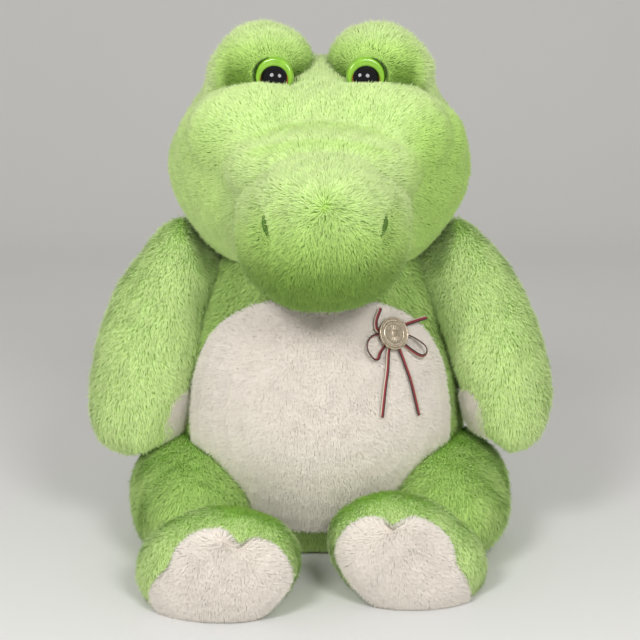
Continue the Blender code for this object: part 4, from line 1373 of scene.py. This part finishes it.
@dataclass(frozen=True)
class Nostrils:
    """Short slits of satin stitches on the front of the muzzle.

    Attributes:
        spread: Middle of a slit out from the middle of the muzzle.
        centre: X of the middle of the muzzle's front.
        height: Z of the middle of a slit.
        half_height: Half the length of the stitches.
        half_width: Half the width of the row of stitches.
        lean: How far the slit leans.
        stitches: How many stitches lie side by side.
        thread: Radius of the thread.
        rise: How far the stitches stand out of the skin.
        crown: How much more the middle stitches stand out; less than 0 where they lie in the slit.
        rounding: How much shorter the outermost stitches are, as a share of the square of the length.
        parting: How much of the pile's length is taken away over the slit.
        parting_edge: Between these distances from the slit's middle the pile grows full.
        parting_stretch: How much longer than wide the parting is.
        parting_front: The pile is parted only in front of these depths.
    """

    spread: float = 0.0428
    centre: float = 0.0036
    height: float = 0.2869
    half_height: float = 0.0088
    half_width: float = 0.0012
    lean: float = math.radians(12)
    stitches: int = 5
    thread: float = 0.00042
    rise: float = 0.0024
    crown: float = -0.0011
    rounding: float = 0.75
    parting: float = 0.72
    parting_edge: tuple[float, float] = (0.0035, 0.0085)
    parting_stretch: float = 2.6
    parting_front: tuple[float, float] = (0.14, 0.15)

    def make(self, workshop: Workshop, muzzle: Skin, side: Side) -> bpy.types.Object:
        """Lay the stitches of one nostril on the muzzle.

        Args:
            workshop: Dresses the piece.
            muzzle: The muzzle's skin.
            side: Which nostril.

        Returns:
            The stitches of one nostril.
        """
        tree = muzzle.tree()
        steps, sides = 14, 8
        places: list[Point] = []
        faces: list[tuple[int, ...]] = []
        uv: list[tuple[float, float]] = []
        box_low, box_high = (Vector(corner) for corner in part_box("nostril_" + side.word))
        middle = (box_low + box_high) / 2
        slant = -side.value * self.lean
        for stitch in range(self.stitches):
            share = stitch / (self.stitches - 1) * 2 - 1
            reach = self.half_height * math.sqrt(1 - self.rounding * share * share)
            path = []
            for step in range(steps + 1):
                along = step / steps * 2 - 1
                across, upward = share * self.half_width, along * reach
                x = middle.x + across * math.cos(slant) - upward * math.sin(slant)
                z = middle.z + across * math.sin(slant) + upward * math.cos(slant)
                spot, normal = tree.ray_cast(Vector((x, -1, z)), Vector((0, 1, 0)))[:2]
                crown = math.sqrt(max(0.0, 1 - along ** 4))
                lift = self.rise * crown - self.thread + self.crown * (1 - abs(share)) * crown
                path.append(spot + normal * lift)
            add_tube(places, faces, uv, path, self.thread, sides)
        piece = mesh_object("nostril_stitches_" + side.word, np.array(places), faces, np.array(uv))
        return workshop.dress(piece, GREEN_THREAD, "head", Slot.THREAD, ["nostril_" + side.word])

    def clear(self, places: Rows) -> Rows:
        """How much of the pile's length is kept near the nostrils."""
        kept = np.ones(len(places))
        for side in Side:
            x = places[:, 0] - (self.centre + side.value * self.spread)
            z = places[:, 2] - self.height
            slant = -side.value * self.lean
            across = x * math.cos(slant) + z * math.sin(slant)
            upward = z * math.cos(slant) - x * math.sin(slant)
            reach = np.hypot(across, upward / self.parting_stretch)
            front = smooth_step(-places[:, 1], *self.parting_front)
            kept = np.minimum(kept, 1 - front * self.parting * (1 - smooth_step(reach, *self.parting_edge)))
        return kept


def add_tube(places: list[Point], faces: list[tuple[int, ...]], uv: list[tuple[float, float]],
             path: Sequence[Vector], radius: float, sides: int) -> None:
    """Add a closed tube along a path to growing lists.

    Args:
        places: Vertex places so far.
        faces: Faces so far.
        uv: Map places so far.
        path: Points of the tube's middle line.
        radius: Its radius.
        sides: Its sides.
    """
    base, last = len(places), len(path) - 1
    for index, point in enumerate(path):
        way = course(path, index).normalized()
        across = way.cross(Vector((0, 1, 0))).normalized()
        lift = across.cross(way)
        for step in range(sides):
            angle = 2 * math.pi * step / sides
            spot = point + (across * math.cos(angle) + lift * math.sin(angle)) * radius
            places.append(spot[:])
            uv.append((step / sides, index / last))
    faces += tube_faces(base, len(path), sides)


def smooth_route(spots: Sequence[Sequence[float]], steps: int) -> list[Vector]:
    """Points of one smooth curve through some spots.

    Args:
        spots: The spots.
        steps: Steps from each spot to the next.

    Returns:
        The curve's points.
    """
    knots = [Vector(spot) for spot in spots]
    last = len(knots) - 1
    slopes = [(knots[min(i + 1, last)] - knots[max(i - 1, 0)]) / (min(i + 1, last) - max(i - 1, 0))
              for i in range(last + 1)]
    points = []
    for index in range(last * steps + 1):
        span = min(index // steps, last - 1)
        t = index / steps - span
        points.append(knots[span] * (2 * t ** 3 - 3 * t ** 2 + 1) + slopes[span] * (t ** 3 - 2 * t ** 2 + t)
                      + knots[span + 1] * (3 * t ** 2 - 2 * t ** 3) + slopes[span + 1] * (t ** 3 - t ** 2))
    return points


@dataclass(frozen=True)
class Brooch:
    """The medal with its bow and two loose ribbons.

    Attributes:
        place: Middle of the brooch, on the belly panel.
        across: Its own direction to the toy's left.
        up: Its own upward direction.
        radius: Radius of the medal.
        thickness: Thickness of the medal.
        level: Height of the medal's back over the belly panel.
        ribbon_width: Width of the ribbon.
        ribbon_thickness: Thickness of the ribbon.
        knot_radius: Radius of the knot.
        knot_low: Height of the knot's back over the belly panel.
        knot_thickness: Thickness of the knot.
        bow_reach: Reach of the bow that the shares below scale.
        end_left: Shares along the bow's short end to the toy's left.
        end_right: Shares along its short end to the right.
        loop_left: Shares round its left loop.
        loop_right: Shares round its right loop.
        route_left: Places along the left loose ribbon, from the knot to its end.
        route_right: Places along the right one.
        section: Width and thickness shares round the ribbon.
        map_length: Length of ribbon that fills its map once.
        loop_tilt: Least tilt of a loop's ribbon, and how much more it has half way round.
        turns: How many turns of ribbon the knot has.
        crest: Height of the medal's raised rings over its face.
        bead: Height of its beads.
        ray: Height of its rays.
    """

    place: Point = (0.0545, -0.09441, 0.18819)
    across: Point = (0.86603, 0.49999, 0.0)
    up: Point = (-0.18021, 0.31214, 0.93279)
    radius: float = 0.0130
    thickness: float = 0.0014
    level: float = 0.0070
    ribbon_width: float = 0.0034
    ribbon_thickness: float = 0.0005
    knot_radius: float = 0.0060
    knot_low: float = 0.0031
    knot_thickness: float = 0.0036
    bow_reach: float = 0.0300
    end_left: tuple = ((0.07, 0.03), (0.35, 0.18), (0.80, 0.27), (1.17, 0.32))
    end_right: tuple = ((-0.07, 0.03), (-0.40, 0.12), (-0.42, 0.37), (-0.20, 0.72))
    loop_left: tuple = (
        (0.07, -0.02), (0.43, -0.05), (0.77, -0.25), (0.97, -0.45),
        (0.95, -0.63), (0.77, -0.68), (0.50, -0.50), (0.07, -0.08))
    loop_right: tuple = (
        (-0.07, -0.02), (-0.47, 0.03), (-0.72, -0.07), (-0.82, -0.30),
        (-0.72, -0.55), (-0.57, -0.60), (-0.45, -0.43), (-0.05, -0.07))
    route_left: tuple = (
        (0.0594, -0.0991, 0.1841), (0.0630, -0.1002, 0.1776), (0.0678, -0.1016, 0.1649),
        (0.0727, -0.1022, 0.1505), (0.0789, -0.1030, 0.1247))
    route_right: tuple = (
        (0.0559, -0.1011, 0.1841), (0.0538, -0.1056, 0.1771), (0.0529, -0.1104, 0.1639),
        (0.0511, -0.1145, 0.1505), (0.0485, -0.1200, 0.1276))
    section: tuple = (
        (-1.0, 0.0), (-0.94, 0.5), (0.0, 0.42), (0.94, 0.5),
        (1.0, 0.0), (0.94, -0.5), (0.0, -0.42), (-0.94, -0.5))
    map_length: float = 0.1
    loop_tilt: tuple = (0.35, 0.45)
    turns: int = 3
    crest: float = 0.0005
    bead: float = 0.00028
    ray: float = 0.00016

    def matrix(self) -> Matrix:
        """Matrix of the brooch: +Z points away from the belly, +Y is up."""
        across, up = Vector(self.across), Vector(self.up)
        turn = Matrix((across, up, across.cross(up))).transposed().to_4x4()
        return Matrix.Translation(self.place) @ turn

    def strip(self, points: Sequence[Vector], widthways: Sequence[Vector], start: int) -> MeshParts:
        """A flat ribbon along points.

        Args:
            points: Its middle line.
            widthways: Its width direction at each point, from the upper to the lower edge.
            start: Number of its first vertex.

        Returns:
            Vertex places, faces and map places.
        """
        places, uv = [], []
        run = 0.0
        for index, (point, wide) in enumerate(zip(points, widthways)):
            way = course(points, index).normalized()
            wide = (wide - way * wide.dot(way)).normalized()
            thick = way.cross(wide)
            if index:
                run += (point - points[index - 1]).length
            for out, lift in self.section:
                spot = point + wide * (out * self.ribbon_width / 2) + thick * (lift * self.ribbon_thickness)
                places.append(spot[:])
                uv.append((0.5 + out / 2, run / self.map_length))
        return places, tube_faces(start, len(points), len(self.section), flipped=True), uv

    def make_tail(self, workshop: Workshop, side: Side) -> bpy.types.Object:
        """One of the two loose ribbons.

        Args:
            workshop: Dresses the piece.
            side: Which ribbon, by the toy's own sides.

        Returns:
            The ribbon.
        """
        route = self.route_left if side is Side.LEFT else self.route_right
        points = smooth_route(route, 8)
        widthways = [course(points, index).cross(Vector((point.x, point.y, 0))) * side.value
                     for index, point in enumerate(points)]
        places, faces, uv = self.strip(points, widthways, 0)
        piece = mesh_object("loose_ribbon_" + side.word, np.array(places), faces, np.array(uv))
        workshop.dress(piece, RIBBON, "torso", Slot.RIBBON, ["ribbon_tail_" + side.word])
        return piece

    def make_bow(self, workshop: Workshop) -> bpy.types.Object:
        """The knot, its two loops and its two short ends."""
        middle = self.knot_low + self.knot_thickness / 2
        outward = Vector((0, 0, 1))
        lines = []
        for shares, is_loop in ((self.end_left, False), (self.end_right, False), (self.loop_left, True),
                                (self.loop_right, True)):
            route = smooth_route([(*share, 0.0) for share in shares], 10)
            points = [Vector((spot.x * self.bow_reach, spot.y * self.bow_reach, middle)) for spot in route]
            widthways = []
            for index in range(len(points)):
                turned = course(points, index).cross(outward).normalized()
                least, more = self.loop_tilt
                tilt = least + more * math.sin(math.pi * index / (len(points) - 1))
                widthways.append(outward * math.cos(tilt) + turned * math.sin(tilt) if is_loop else turned)
            lines.append((points, widthways))
        half, rise, steps = self.knot_radius - GAP, self.knot_thickness / 2, 28
        for turn in range(self.turns):
            heading = math.pi / self.turns * turn
            way = Vector((math.cos(heading), math.sin(heading), 0))
            points = []
            for angle in [2 * math.pi * index / steps for index in range(steps - 1)]:
                out = way * (half * math.cos(angle))
                points.append(Vector((0, 0, middle)) + out + outward * (rise * math.sin(angle)))
            lines.append((points, [way.cross(outward)] * len(points)))
        places, faces, uv = [], [], []
        for points, widthways in lines:
            more_places, more_faces, more_uv = self.strip(points, widthways, len(places))
            places += more_places
            faces += more_faces
            uv += more_uv
        piece = mesh_object("bow", np.array(places), faces, np.array(uv))
        piece.data.transform(self.matrix())
        return workshop.dress(piece, RIBBON, "torso", Slot.RIBBON, ["ribbon_bow"])

    def relief(self, radius: float, angle: float) -> float:
        """Height of the medal's plain ornament: a beaded ring and short rays."""
        share = radius / self.radius
        beads = max(0.0, math.cos(40 * angle)) * max(0.0, 1 - abs(share - 0.80) / 0.05)
        rays = math.cos(18 * angle) * max(0.0, 1 - abs(share - 0.36) / 0.20)
        return self.bead * beads + self.ray * rays

    def make_medal(self, workshop: Workshop) -> bpy.types.Object:
        """The round medal: a rounded rim, a beaded ring, a plain ring and short rays."""
        low, face = self.level, self.level + self.thickness
        rises = (
            (0.985, 0.8), (0.955, 1.0), (0.925, 0.8), (0.905, 0.1), (0.85, 0.0), (0.83, 0.0), (0.815, 0.0),
            (0.80, 0.0), (0.785, 0.0), (0.77, 0.0), (0.74, 0.0), (0.72, 0.7), (0.67, 1.0), (0.62, 0.7),
            (0.60, 0.0), (0.56, 0.0), (0.50, 0.0), (0.43, 0.0), (0.36, 0.0), (0.29, 0.0), (0.22, 0.0),
            (0.16, 0.2), (0.13, 0.9), (0.08, 1.0))
        profile = [(0.0, low), (self.radius * 0.97, low), (self.radius, low + GAP), (self.radius, face)]
        profile += [(self.radius * share, face + self.crest * rise) for share, rise in rises]
        profile += [(0.0, face + self.crest)]

        def lift(radius: float, angle: float) -> float:
            """Leave the rim and the back plain."""
            return self.relief(radius, angle) if radius < self.radius * 0.9 else 0.0

        places, faces = turned_rows(profile, 240, lift)
        piece = mesh_object("medal_dressed", places, faces)
        piece.data.transform(self.matrix())
        piece.data.set_sharp_from_angle(angle=SHARP)
        return workshop.dress(piece, GOLD, "torso", Slot.GOLD, ["medal"])


@dataclass(frozen=True)
class Studio:
    """The camera, the floor with its backdrop, and the lamps.

    Attributes:
        elevation: Height angle of the camera.
        distance: From the camera to the point that it looks at.
        target: That point.
        lens: Focal length in millimetres.
        sensor: Width of the sensor in millimetres.
        floor_tone: Colour of the floor and backdrop.
        mottle: How much of its brightness the floor keeps in its darker patches.
        room_tone: Colour of the light from all round.
        room_strength: Strength of that light.
        lamps: Name, place and watts of each lamp.
        lamp_size: Width of a lamp.
        lamp_aim: The point that the lamps look at.
    """

    elevation: float = math.radians(12)
    distance: float = 1.27
    target: Point = (0.0, -0.02, 0.1845)
    lens: float = 85.05
    sensor: float = 36
    floor_tone: Colour = (0.86, 0.855, 0.84, 1)
    mottle: float = 0.97
    room_tone: Colour = (1.0, 0.985, 0.96, 1)
    room_strength: float = 0.42
    lamps: tuple[tuple[str, Point, float], ...] = (
        ("left key", (-0.60, -1.32, 1.14), 11.7), ("right key", (0.50, -1.37, 1.04), 10.9))
    lamp_size: float = 0.5
    lamp_aim: Point = (0, 0, 0.2)

    def make_camera(self) -> None:
        """Set up the camera at the photograph's viewing angle."""
        data = bpy.data.cameras.new("camera")
        data.lens = self.lens
        data.sensor_width = self.sensor
        camera = bpy.data.objects.new("camera", data)
        back = Vector((0, -math.cos(self.elevation), math.sin(self.elevation)))
        camera.location = Vector(self.target) + back * self.distance
        camera.rotation_euler = (math.pi / 2 - self.elevation, 0, 0)
        bpy.context.scene.collection.objects.link(camera)
        bpy.context.scene.camera = camera

    def make_floor(self) -> None:
        """A pale floor swept up into a backdrop."""
        half, near, far, height, bend, steps = 4.0, -3.0, 2.2, 3.0, 0.8, 16
        line = [(near, 0.0), (far - bend, 0.0)]
        for step in range(1, steps + 1):
            angle = math.pi / 2 * step / steps
            line.append((far - bend + bend * math.sin(angle), bend - bend * math.cos(angle)))
        line.append((far, height))
        places = np.array([(x, y, z) for y, z in line for x in (-half, half)])
        faces = [(2 * i, 2 * i + 1, 2 * i + 3, 2 * i + 2) for i in range(len(line) - 1)]
        floor = mesh_object("floor", places, faces)
        material = bpy.data.materials.new("pale_paper")
        material.use_nodes = True
        graph = Graph(material.node_tree)
        shader = material.node_tree.nodes["Principled BSDF"]
        patches = graph.noise(graph.own_space(), 3.0, 4.0)
        darker = (*[channel * self.mottle for channel in self.floor_tone[:3]], 1)
        graph.feed(shader, {"Base Color": graph.blend(patches, self.floor_tone, darker), "Roughness": 0.7})
        floor.data.materials.append(material)

    def make_lamp(self, name: str, place: Point, watts: float) -> None:
        """Add a soft round lamp that looks at the toy."""
        data = bpy.data.lights.new(name, "AREA")
        data.shape = "DISK"
        data.size = self.lamp_size
        data.energy = watts
        lamp = bpy.data.objects.new(name, data)
        lamp.location = place
        way = Vector(self.lamp_aim) - Vector(place)
        lamp.rotation_euler = way.to_track_quat("-Z", "Y").to_euler()
        bpy.context.scene.collection.objects.link(lamp)

    def light(self) -> None:
        """Light the toy plainly, mostly from above and in front."""
        world = bpy.data.worlds.new("soft_room")
        world.use_nodes = True
        background = world.node_tree.nodes["Background"]
        background.inputs["Color"].default_value = self.room_tone
        background.inputs["Strength"].default_value = self.room_strength
        bpy.context.scene.world = world
        for name, place, watts in self.lamps:
            self.make_lamp(name, place, watts)
        bpy.context.scene.view_settings.view_transform = "Standard"


class Toy:
    """The whole crocodile, made piece by piece.

    The names in capitals hold the places and the sizes of its softer shaping and of its painted
    shade. A pair is a band of places from which a change begins to where it is full.
    """

    FACE: Point = (0.0, -0.170, 0.300)
    BELLY: Point = (0.0, -0.150, 0.150)
    BELLY_RIM = 0.095
    SOLE_RIM = 0.042
    BODY_SINK = 0.0014
    FOOT_SINK = 0.0030
    FILL = 0.85
    FIRST_SEED = 100

    CROWN_DIP = 0.006
    CROWN_SIDES = (0.012, 0.050)
    CROWN_HEIGHTS = (0.375, 0.405)

    BROW_MIDDLE = 0.048
    BROW_NARROWING = 0.12
    BROW_DROP = 0.0035
    BROW_TOP = (0.388, 0.412)
    # Painted shade on a brow's front, above the eye and in the crease.
    BROW_SHADE = 0.9
    BROW_CREASE = (0.388, 0.426)
    BROW_OUTER = (0.064, 0.084)
    BROW_FRONT = (0.02, 0.06)

    ARM_SINK = 0.0008
    PAW_RISE_LEFT = 0.0065
    PAW_RISE_RIGHT = 0.0030
    PAW_END = (0.080, 0.130)
    PAW_SLIMMING = 0.0105
    PAW_INNER = (0.112, 0.165)
    PAW_INNER_TOP = (0.130, 0.195)
    PALM_SINK = 0.0036

    SOLE_INNER = 0.020
    SOLE_SWELL = 0.0006
    SOLE_NARROWING = 0.075

    MUZZLE_MIDDLE = 0.003
    MUZZLE_SINK = 0.0015
    MUZZLE_NARROWING = 0.05
    MUZZLE_TAPER = 0.17
    MUZZLE_SHOULDER = (0.292, 0.335)
    MUZZLE_FLATTENING = 0.14
    MUZZLE_FLAT_FROM = 0.300
    # Painted shade on the muzzle's lower half, which faces down, and where the pile parts at the whorl.
    MUZZLE_SHADE = 0.86
    MUZZLE_SHADE_DOWN = (-0.322, -0.245)
    WHORL: Point = (0.004, -0.178, 0.298)
    WHORL_REACH = 0.022
    WHORL_SHADE = 0.2

    # Painted shade on the cheeks, stronger on the left, and painted shadow under the two folds over the
    # muzzle.
    CHEEK_OUT = (0.050, 0.085)
    CHEEK_DOWN = (-0.385, -0.335)
    CHEEK_FRONT = (-0.02, 0.03)
    CHEEK_SHADE_LEFT = 0.70
    CHEEK_SHADE_RIGHT = 0.30
    FOLDS = (0.3540, 0.3425)
    FOLD_BEND = 3.1
    FOLD_ENDS = (0.040, 0.068)
    FOLD_FRONT = (0.06, 0.09)
    FOLD_EDGE = 0.0015
    FOLD_DEPTH = 0.0100
    FOLD_SHADE = 0.30

    def __init__(self, workshop: Workshop) -> None:
        """Take the workshop and name the toy's sub-assemblies."""
        self.workshop = workshop
        self.shearer = Shearer(workshop)
        self.eyes = EyeSet()
        self.nostrils = Nostrils()
        self.brooch = Brooch()
        self.skins: dict[str, Skin] = {}

    def head_pads(self) -> list[Matrix]:
        """Fullness round the muzzle, over it, on the cheeks and on both sides of each brow."""
        pads = [ball_frame((0.002, -0.095, 0.3185), (0.073, 0.046, 0.0365)),
                ball_frame((0.0, -0.0790, 0.3400), (0.050, 0.0295, 0.0400))]
        beside = (((0.044, -0.0785, 0.3445), (0.056, 0.0285, 0.0420), 4),
                  ((0.082, -0.054, 0.335), (0.030, 0.028, 0.034), 0),
                  ((0.0745, -0.035, 0.370), (0.0175, 0.030, 0.024), 0),
                  ((0.0200, -0.035, 0.384), (0.0160, 0.030, 0.022), 0))
        for side in Side:
            for (out, depth, height), radii, tilt in beside:
                centre = (side.value * out, depth, height)
                pads.append(ball_frame(centre, radii, side.value * math.radians(tilt)))
        return pads

    def shape_head(self, places: Rows, normals: Rows) -> Rows:
        """Sink the middle of the head's top between the brows."""
        offset = np.zeros_like(places)
        between = 1 - smooth_step(np.abs(places[:, 0]), *self.CROWN_SIDES)
        offset[:, 2] = -self.CROWN_DIP * between * smooth_step(places[:, 2], *self.CROWN_HEIGHTS)
        return offset

    def shape_brow(self, places: Rows, normals: Rows) -> Rows:
        """Draw a brow in at its sides and its top."""
        offset = np.zeros_like(places)
        middle = np.sign(places[:, 0]) * self.BROW_MIDDLE
        offset[:, 0] = -self.BROW_NARROWING * (places[:, 0] - middle)
        offset[:, 2] = -self.BROW_DROP * smooth_step(places[:, 2], *self.BROW_TOP)
        return offset

    def shape_arm(self, places: Rows, normals: Rows) -> Rows:
        """Take an arm in a little and end it higher, and slim the left paw's inner side."""
        left = places[:, 0] > 0
        offset = -self.ARM_SINK * normals
        rise = np.where(left, self.PAW_RISE_LEFT, self.PAW_RISE_RIGHT)
        offset[:, 2] += rise * (1 - smooth_step(places[:, 2], *self.PAW_END))
        inner = 1 - smooth_step(places[:, 0], *self.PAW_INNER)
        slim = self.PAW_SLIMMING * inner * (1 - smooth_step(places[:, 2], *self.PAW_INNER_TOP))
        offset[:, 0] += np.where(left, slim, 0.0)
        return offset

    def shape_palm(self, places: Rows, normals: Rows) -> Rows:
        """Sink a palm's front part into the arm, so that only a crescent shows from the front."""
        return self.shape_arm(places, normals) + np.array((0.0, self.PALM_SINK, 0.0))

    def shape_sole(self, places: Rows, normals: Rows) -> Rows:
        """Narrow a sole from its outer side, so that the foot's green shows round it."""
        offset = self.SOLE_SWELL * normals
        inner = np.sign(places[:, 0]) * self.SOLE_INNER
        offset[:, 0] -= self.SOLE_NARROWING * (places[:, 0] - inner)
        return offset

    def shape_muzzle(self, places: Rows, normals: Rows) -> Rows:
        """Narrow the muzzle towards its top and flatten it there."""
        offset = -self.MUZZLE_SINK * normals
        taper = self.MUZZLE_TAPER * smooth_step(places[:, 2], *self.MUZZLE_SHOULDER)
        offset[:, 0] -= (self.MUZZLE_NARROWING + taper) * (places[:, 0] - self.MUZZLE_MIDDLE)
        offset[:, 2] -= self.MUZZLE_FLATTENING * np.maximum(places[:, 2] - self.MUZZLE_FLAT_FROM, 0.0)
        return offset

    def painted_muzzle_shade(self, places: Rows) -> Rows:
        """Painted shade on the muzzle's lower half, which faces down, and where the pile parts at the
        whorl.
        """
        low = smooth_step(-places[:, 2], *self.MUZZLE_SHADE_DOWN)
        reach = np.linalg.norm(places - np.array(self.WHORL), axis=1)
        whorl = 1 - smooth_step(reach, 0.0, self.WHORL_REACH)
        return np.minimum(self.MUZZLE_SHADE * low + self.WHORL_SHADE * whorl, 1.0)

    def painted_head_shade(self, places: Rows) -> Rows:
        """Painted shade on the cheeks, most on the left, and painted shadow under the two folds over the
        muzzle.
        """
        out, front = np.abs(places[:, 0]), -places[:, 1]
        cheek = smooth_step(out, *self.CHEEK_OUT) * smooth_step(-places[:, 2], *self.CHEEK_DOWN)
        cheek *= smooth_step(front, *self.CHEEK_FRONT)
        share = np.where(places[:, 0] > 0, self.CHEEK_SHADE_LEFT, self.CHEEK_SHADE_RIGHT) * cheek
        middle = (1 - smooth_step(out, *self.FOLD_ENDS)) * smooth_step(front, *self.FOLD_FRONT)
        for fold in self.FOLDS:
            drop = fold - self.FOLD_BEND * places[:, 0] ** 2 - places[:, 2]
            shade = smooth_step(drop, -self.FOLD_EDGE, self.FOLD_EDGE)
            shade *= 1 - smooth_step(drop, self.FOLD_EDGE, self.FOLD_DEPTH)
            share = np.maximum(share, self.FOLD_SHADE * shade * middle)
        return share

    def deep_brow(self, places: Rows) -> Rows:
        """Painted shade on a brow's front, above the eye and in the crease."""
        low = 1 - smooth_step(places[:, 2], *self.BROW_CREASE)
        inner = 1 - smooth_step(np.abs(places[:, 0]), *self.BROW_OUTER)
        return self.BROW_SHADE * low * inner * smooth_step(-places[:, 1], *self.BROW_FRONT)

    def make_skins(self) -> None:
        """Soften every stuffed piece and every sewn panel."""
        plan = [Skin("head", "head", softening=20, shaping=self.shape_head, pads=self.head_pads()),
                Skin("muzzle", "head", shaping=self.shape_muzzle),
                Skin("body", "torso", shaping=draw_in(self.BODY_SINK)),
                Skin("tail", "tail")]
        panels = [("belly_panel", "torso"), ("seat_panel", "torso")]
        for side in Side:
            word = side.word
            plan.append(Skin("brow_" + word, "head", voxel=0.0025, shaping=self.shape_brow))
            plan.append(Skin("thigh_" + word, "leg_" + word))
            plan.append(Skin("foot_" + word, "leg_" + word, shaping=draw_in(self.FOOT_SINK)))
            plan.append(Skin("arm_" + word, "arm_" + word, shaping=self.shape_arm))
            panels += [("palm_" + word, "arm_" + word), ("sole_" + word, "leg_" + word)]
        for name, body in panels:
            shaping = {"palm": self.shape_palm, "sole": self.shape_sole}.get(name.split("_")[0])
            plan.append(Skin(name, body, voxel=0.0011, softening=4, lump=0.0, shaping=shaping))
        white = [name for name, _ in panels]
        for skin in plan:
            skin.make()
            pale = skin.node in white
            self.workshop.dress(skin.piece, WHITE_BACKING if pale else GREEN_BACKING, skin.body,
                                Slot.WHITE if pale else Slot.GREEN, [skin.node])
            self.shearer.note(skin.node, skin.body, skin.places, skin.triangles)
            self.skins[skin.node] = skin

    def make_trim(self) -> None:
        """Make the eyes, the nostrils and the brooch, which the pile stays clear of."""
        for side in Side:
            eye = self.eyes.make_eye(self.workshop, side)
            lid = self.eyes.make_lid(self.workshop, side)
            self.shearer.note_piece(eye, "eye", "head")
            self.shearer.note_piece(lid, "lid", "head")
            self.nostrils.make(self.workshop, self.skins["muzzle"], side)
            self.workshop.refinish("eye_washer_" + side.word, WASHER_PLASTIC)
        for piece in (self.brooch.make_bow(self.workshop), self.brooch.make_medal(self.workshop)):
            self.shearer.note_piece(piece, piece.name, "torso")
        self.workshop.refinish("brooch_bar", STEEL)
        self.workshop.refinish("brooch_needle", STEEL)

    def grow_pile(self) -> None:
        """Grow the pile on every skin but the seat panel."""
        green = {"finish": GREEN_PILE, "slot": Slot.GREEN}
        soft = {"unrest": 0.11, "clump": 0.04, "facing": 0.10, **green}
        shaded_green = {"finish": SHADED_GREEN_PILE, "slot": Slot.GREEN}
        white = {"finish": WHITE_PILE, "slot": Slot.WHITE, "unrest": 0.09, "clump": 0.02, "facing": 0.08}
        fluffy = {**white, "unrest": 0.13, "facing": 0.06}
        face = comb_from(self.FACE, drop=0.15, turn_down_behind=0.02)
        plans: dict[str, Pile] = {
            "head": Pile(face, length=0.0050, density=2.1e6, lean=math.radians(42), clear=self.eyes.clear,
                         painted_shade=self.painted_head_shade, **soft),
            "muzzle": Pile(comb_from(self.WHORL, drop=0.25), length=0.0072, density=2.3e6,
                           lean=math.radians(44), unrest=0.2, clear=self.nostrils.clear,
                           painted_shade=self.painted_muzzle_shade, **shaded_green),
            # The body's pile gets an even painted shade.
            "body": Pile(comb_down, density=1.15e6, width=0.0006, painted_shade=even_share(0.35), **shaded_green),
            "tail": Pile(comb_to((0.0, 1.0, -0.2)), density=1.5e6, **green),
            "belly_panel": Pile(comb_to_rim(self.BELLY, self.BELLY_RIM), length=0.0050, density=2.7e6,
                                width=0.00046, lean=math.radians(50), **white),
        }
        for side in Side:
            word, sign = side.word, side.value
            eye = (sign * self.eyes.spread, self.eyes.depth, self.eyes.height)
            plans["brow_" + word] = Pile(
                comb_from(eye, drop=0.1), length=0.0068, density=2.3e6, unrest=0.21,
                clear=self.eyes.clear, painted_shade=self.deep_brow, **shaded_green)
            # The thighs' pile gets an even painted shade.
            plans["thigh_" + word] = Pile(
                comb_to((0.0, -0.35, -1.0)), density=1.4e6, painted_shade=even_share(0.38), **shaded_green)
            plans["foot_" + word] = Pile(comb_to((sign * 0.2, -0.45, -1.0)), length=0.0052, **green)
            plans["arm_" + word] = Pile(comb_down, density=1.6e6, **green)
            middle = tuple(self.skins["sole_" + word].places.mean(axis=0))
            plans["sole_" + word] = Pile(
                comb_to_rim(middle, self.SOLE_RIM), length=0.0050, density=2.8e6,
                lean=math.radians(44), **fluffy)
            plans["palm_" + word] = Pile(
                comb_down, length=0.0050, density=2.8e6, lean=math.radians(48), **fluffy)
        for number, (name, pile) in enumerate(plans.items()):
            self.shearer.grow(self.skins[name], pile, name, self.FIRST_SEED + number)


def main() -> None:
    """Build the studio and the toy in order."""
    logging.basicConfig(level=logging.INFO, format="%(message)s")
    studio = Studio()
    studio.make_camera()
    workshop = Workshop()
    toy = Toy(workshop)
    for side in Side:
        tail = toy.brooch.make_tail(workshop, side)
        toy.shearer.note_piece(tail, tail.name, "torso")
    toy.make_skins()
    toy.make_trim()
    toy.grow_pile()
    studio.make_floor()
    studio.light()


if __name__ == "__main__":
    main()
    bpy.context.view_layer.update()
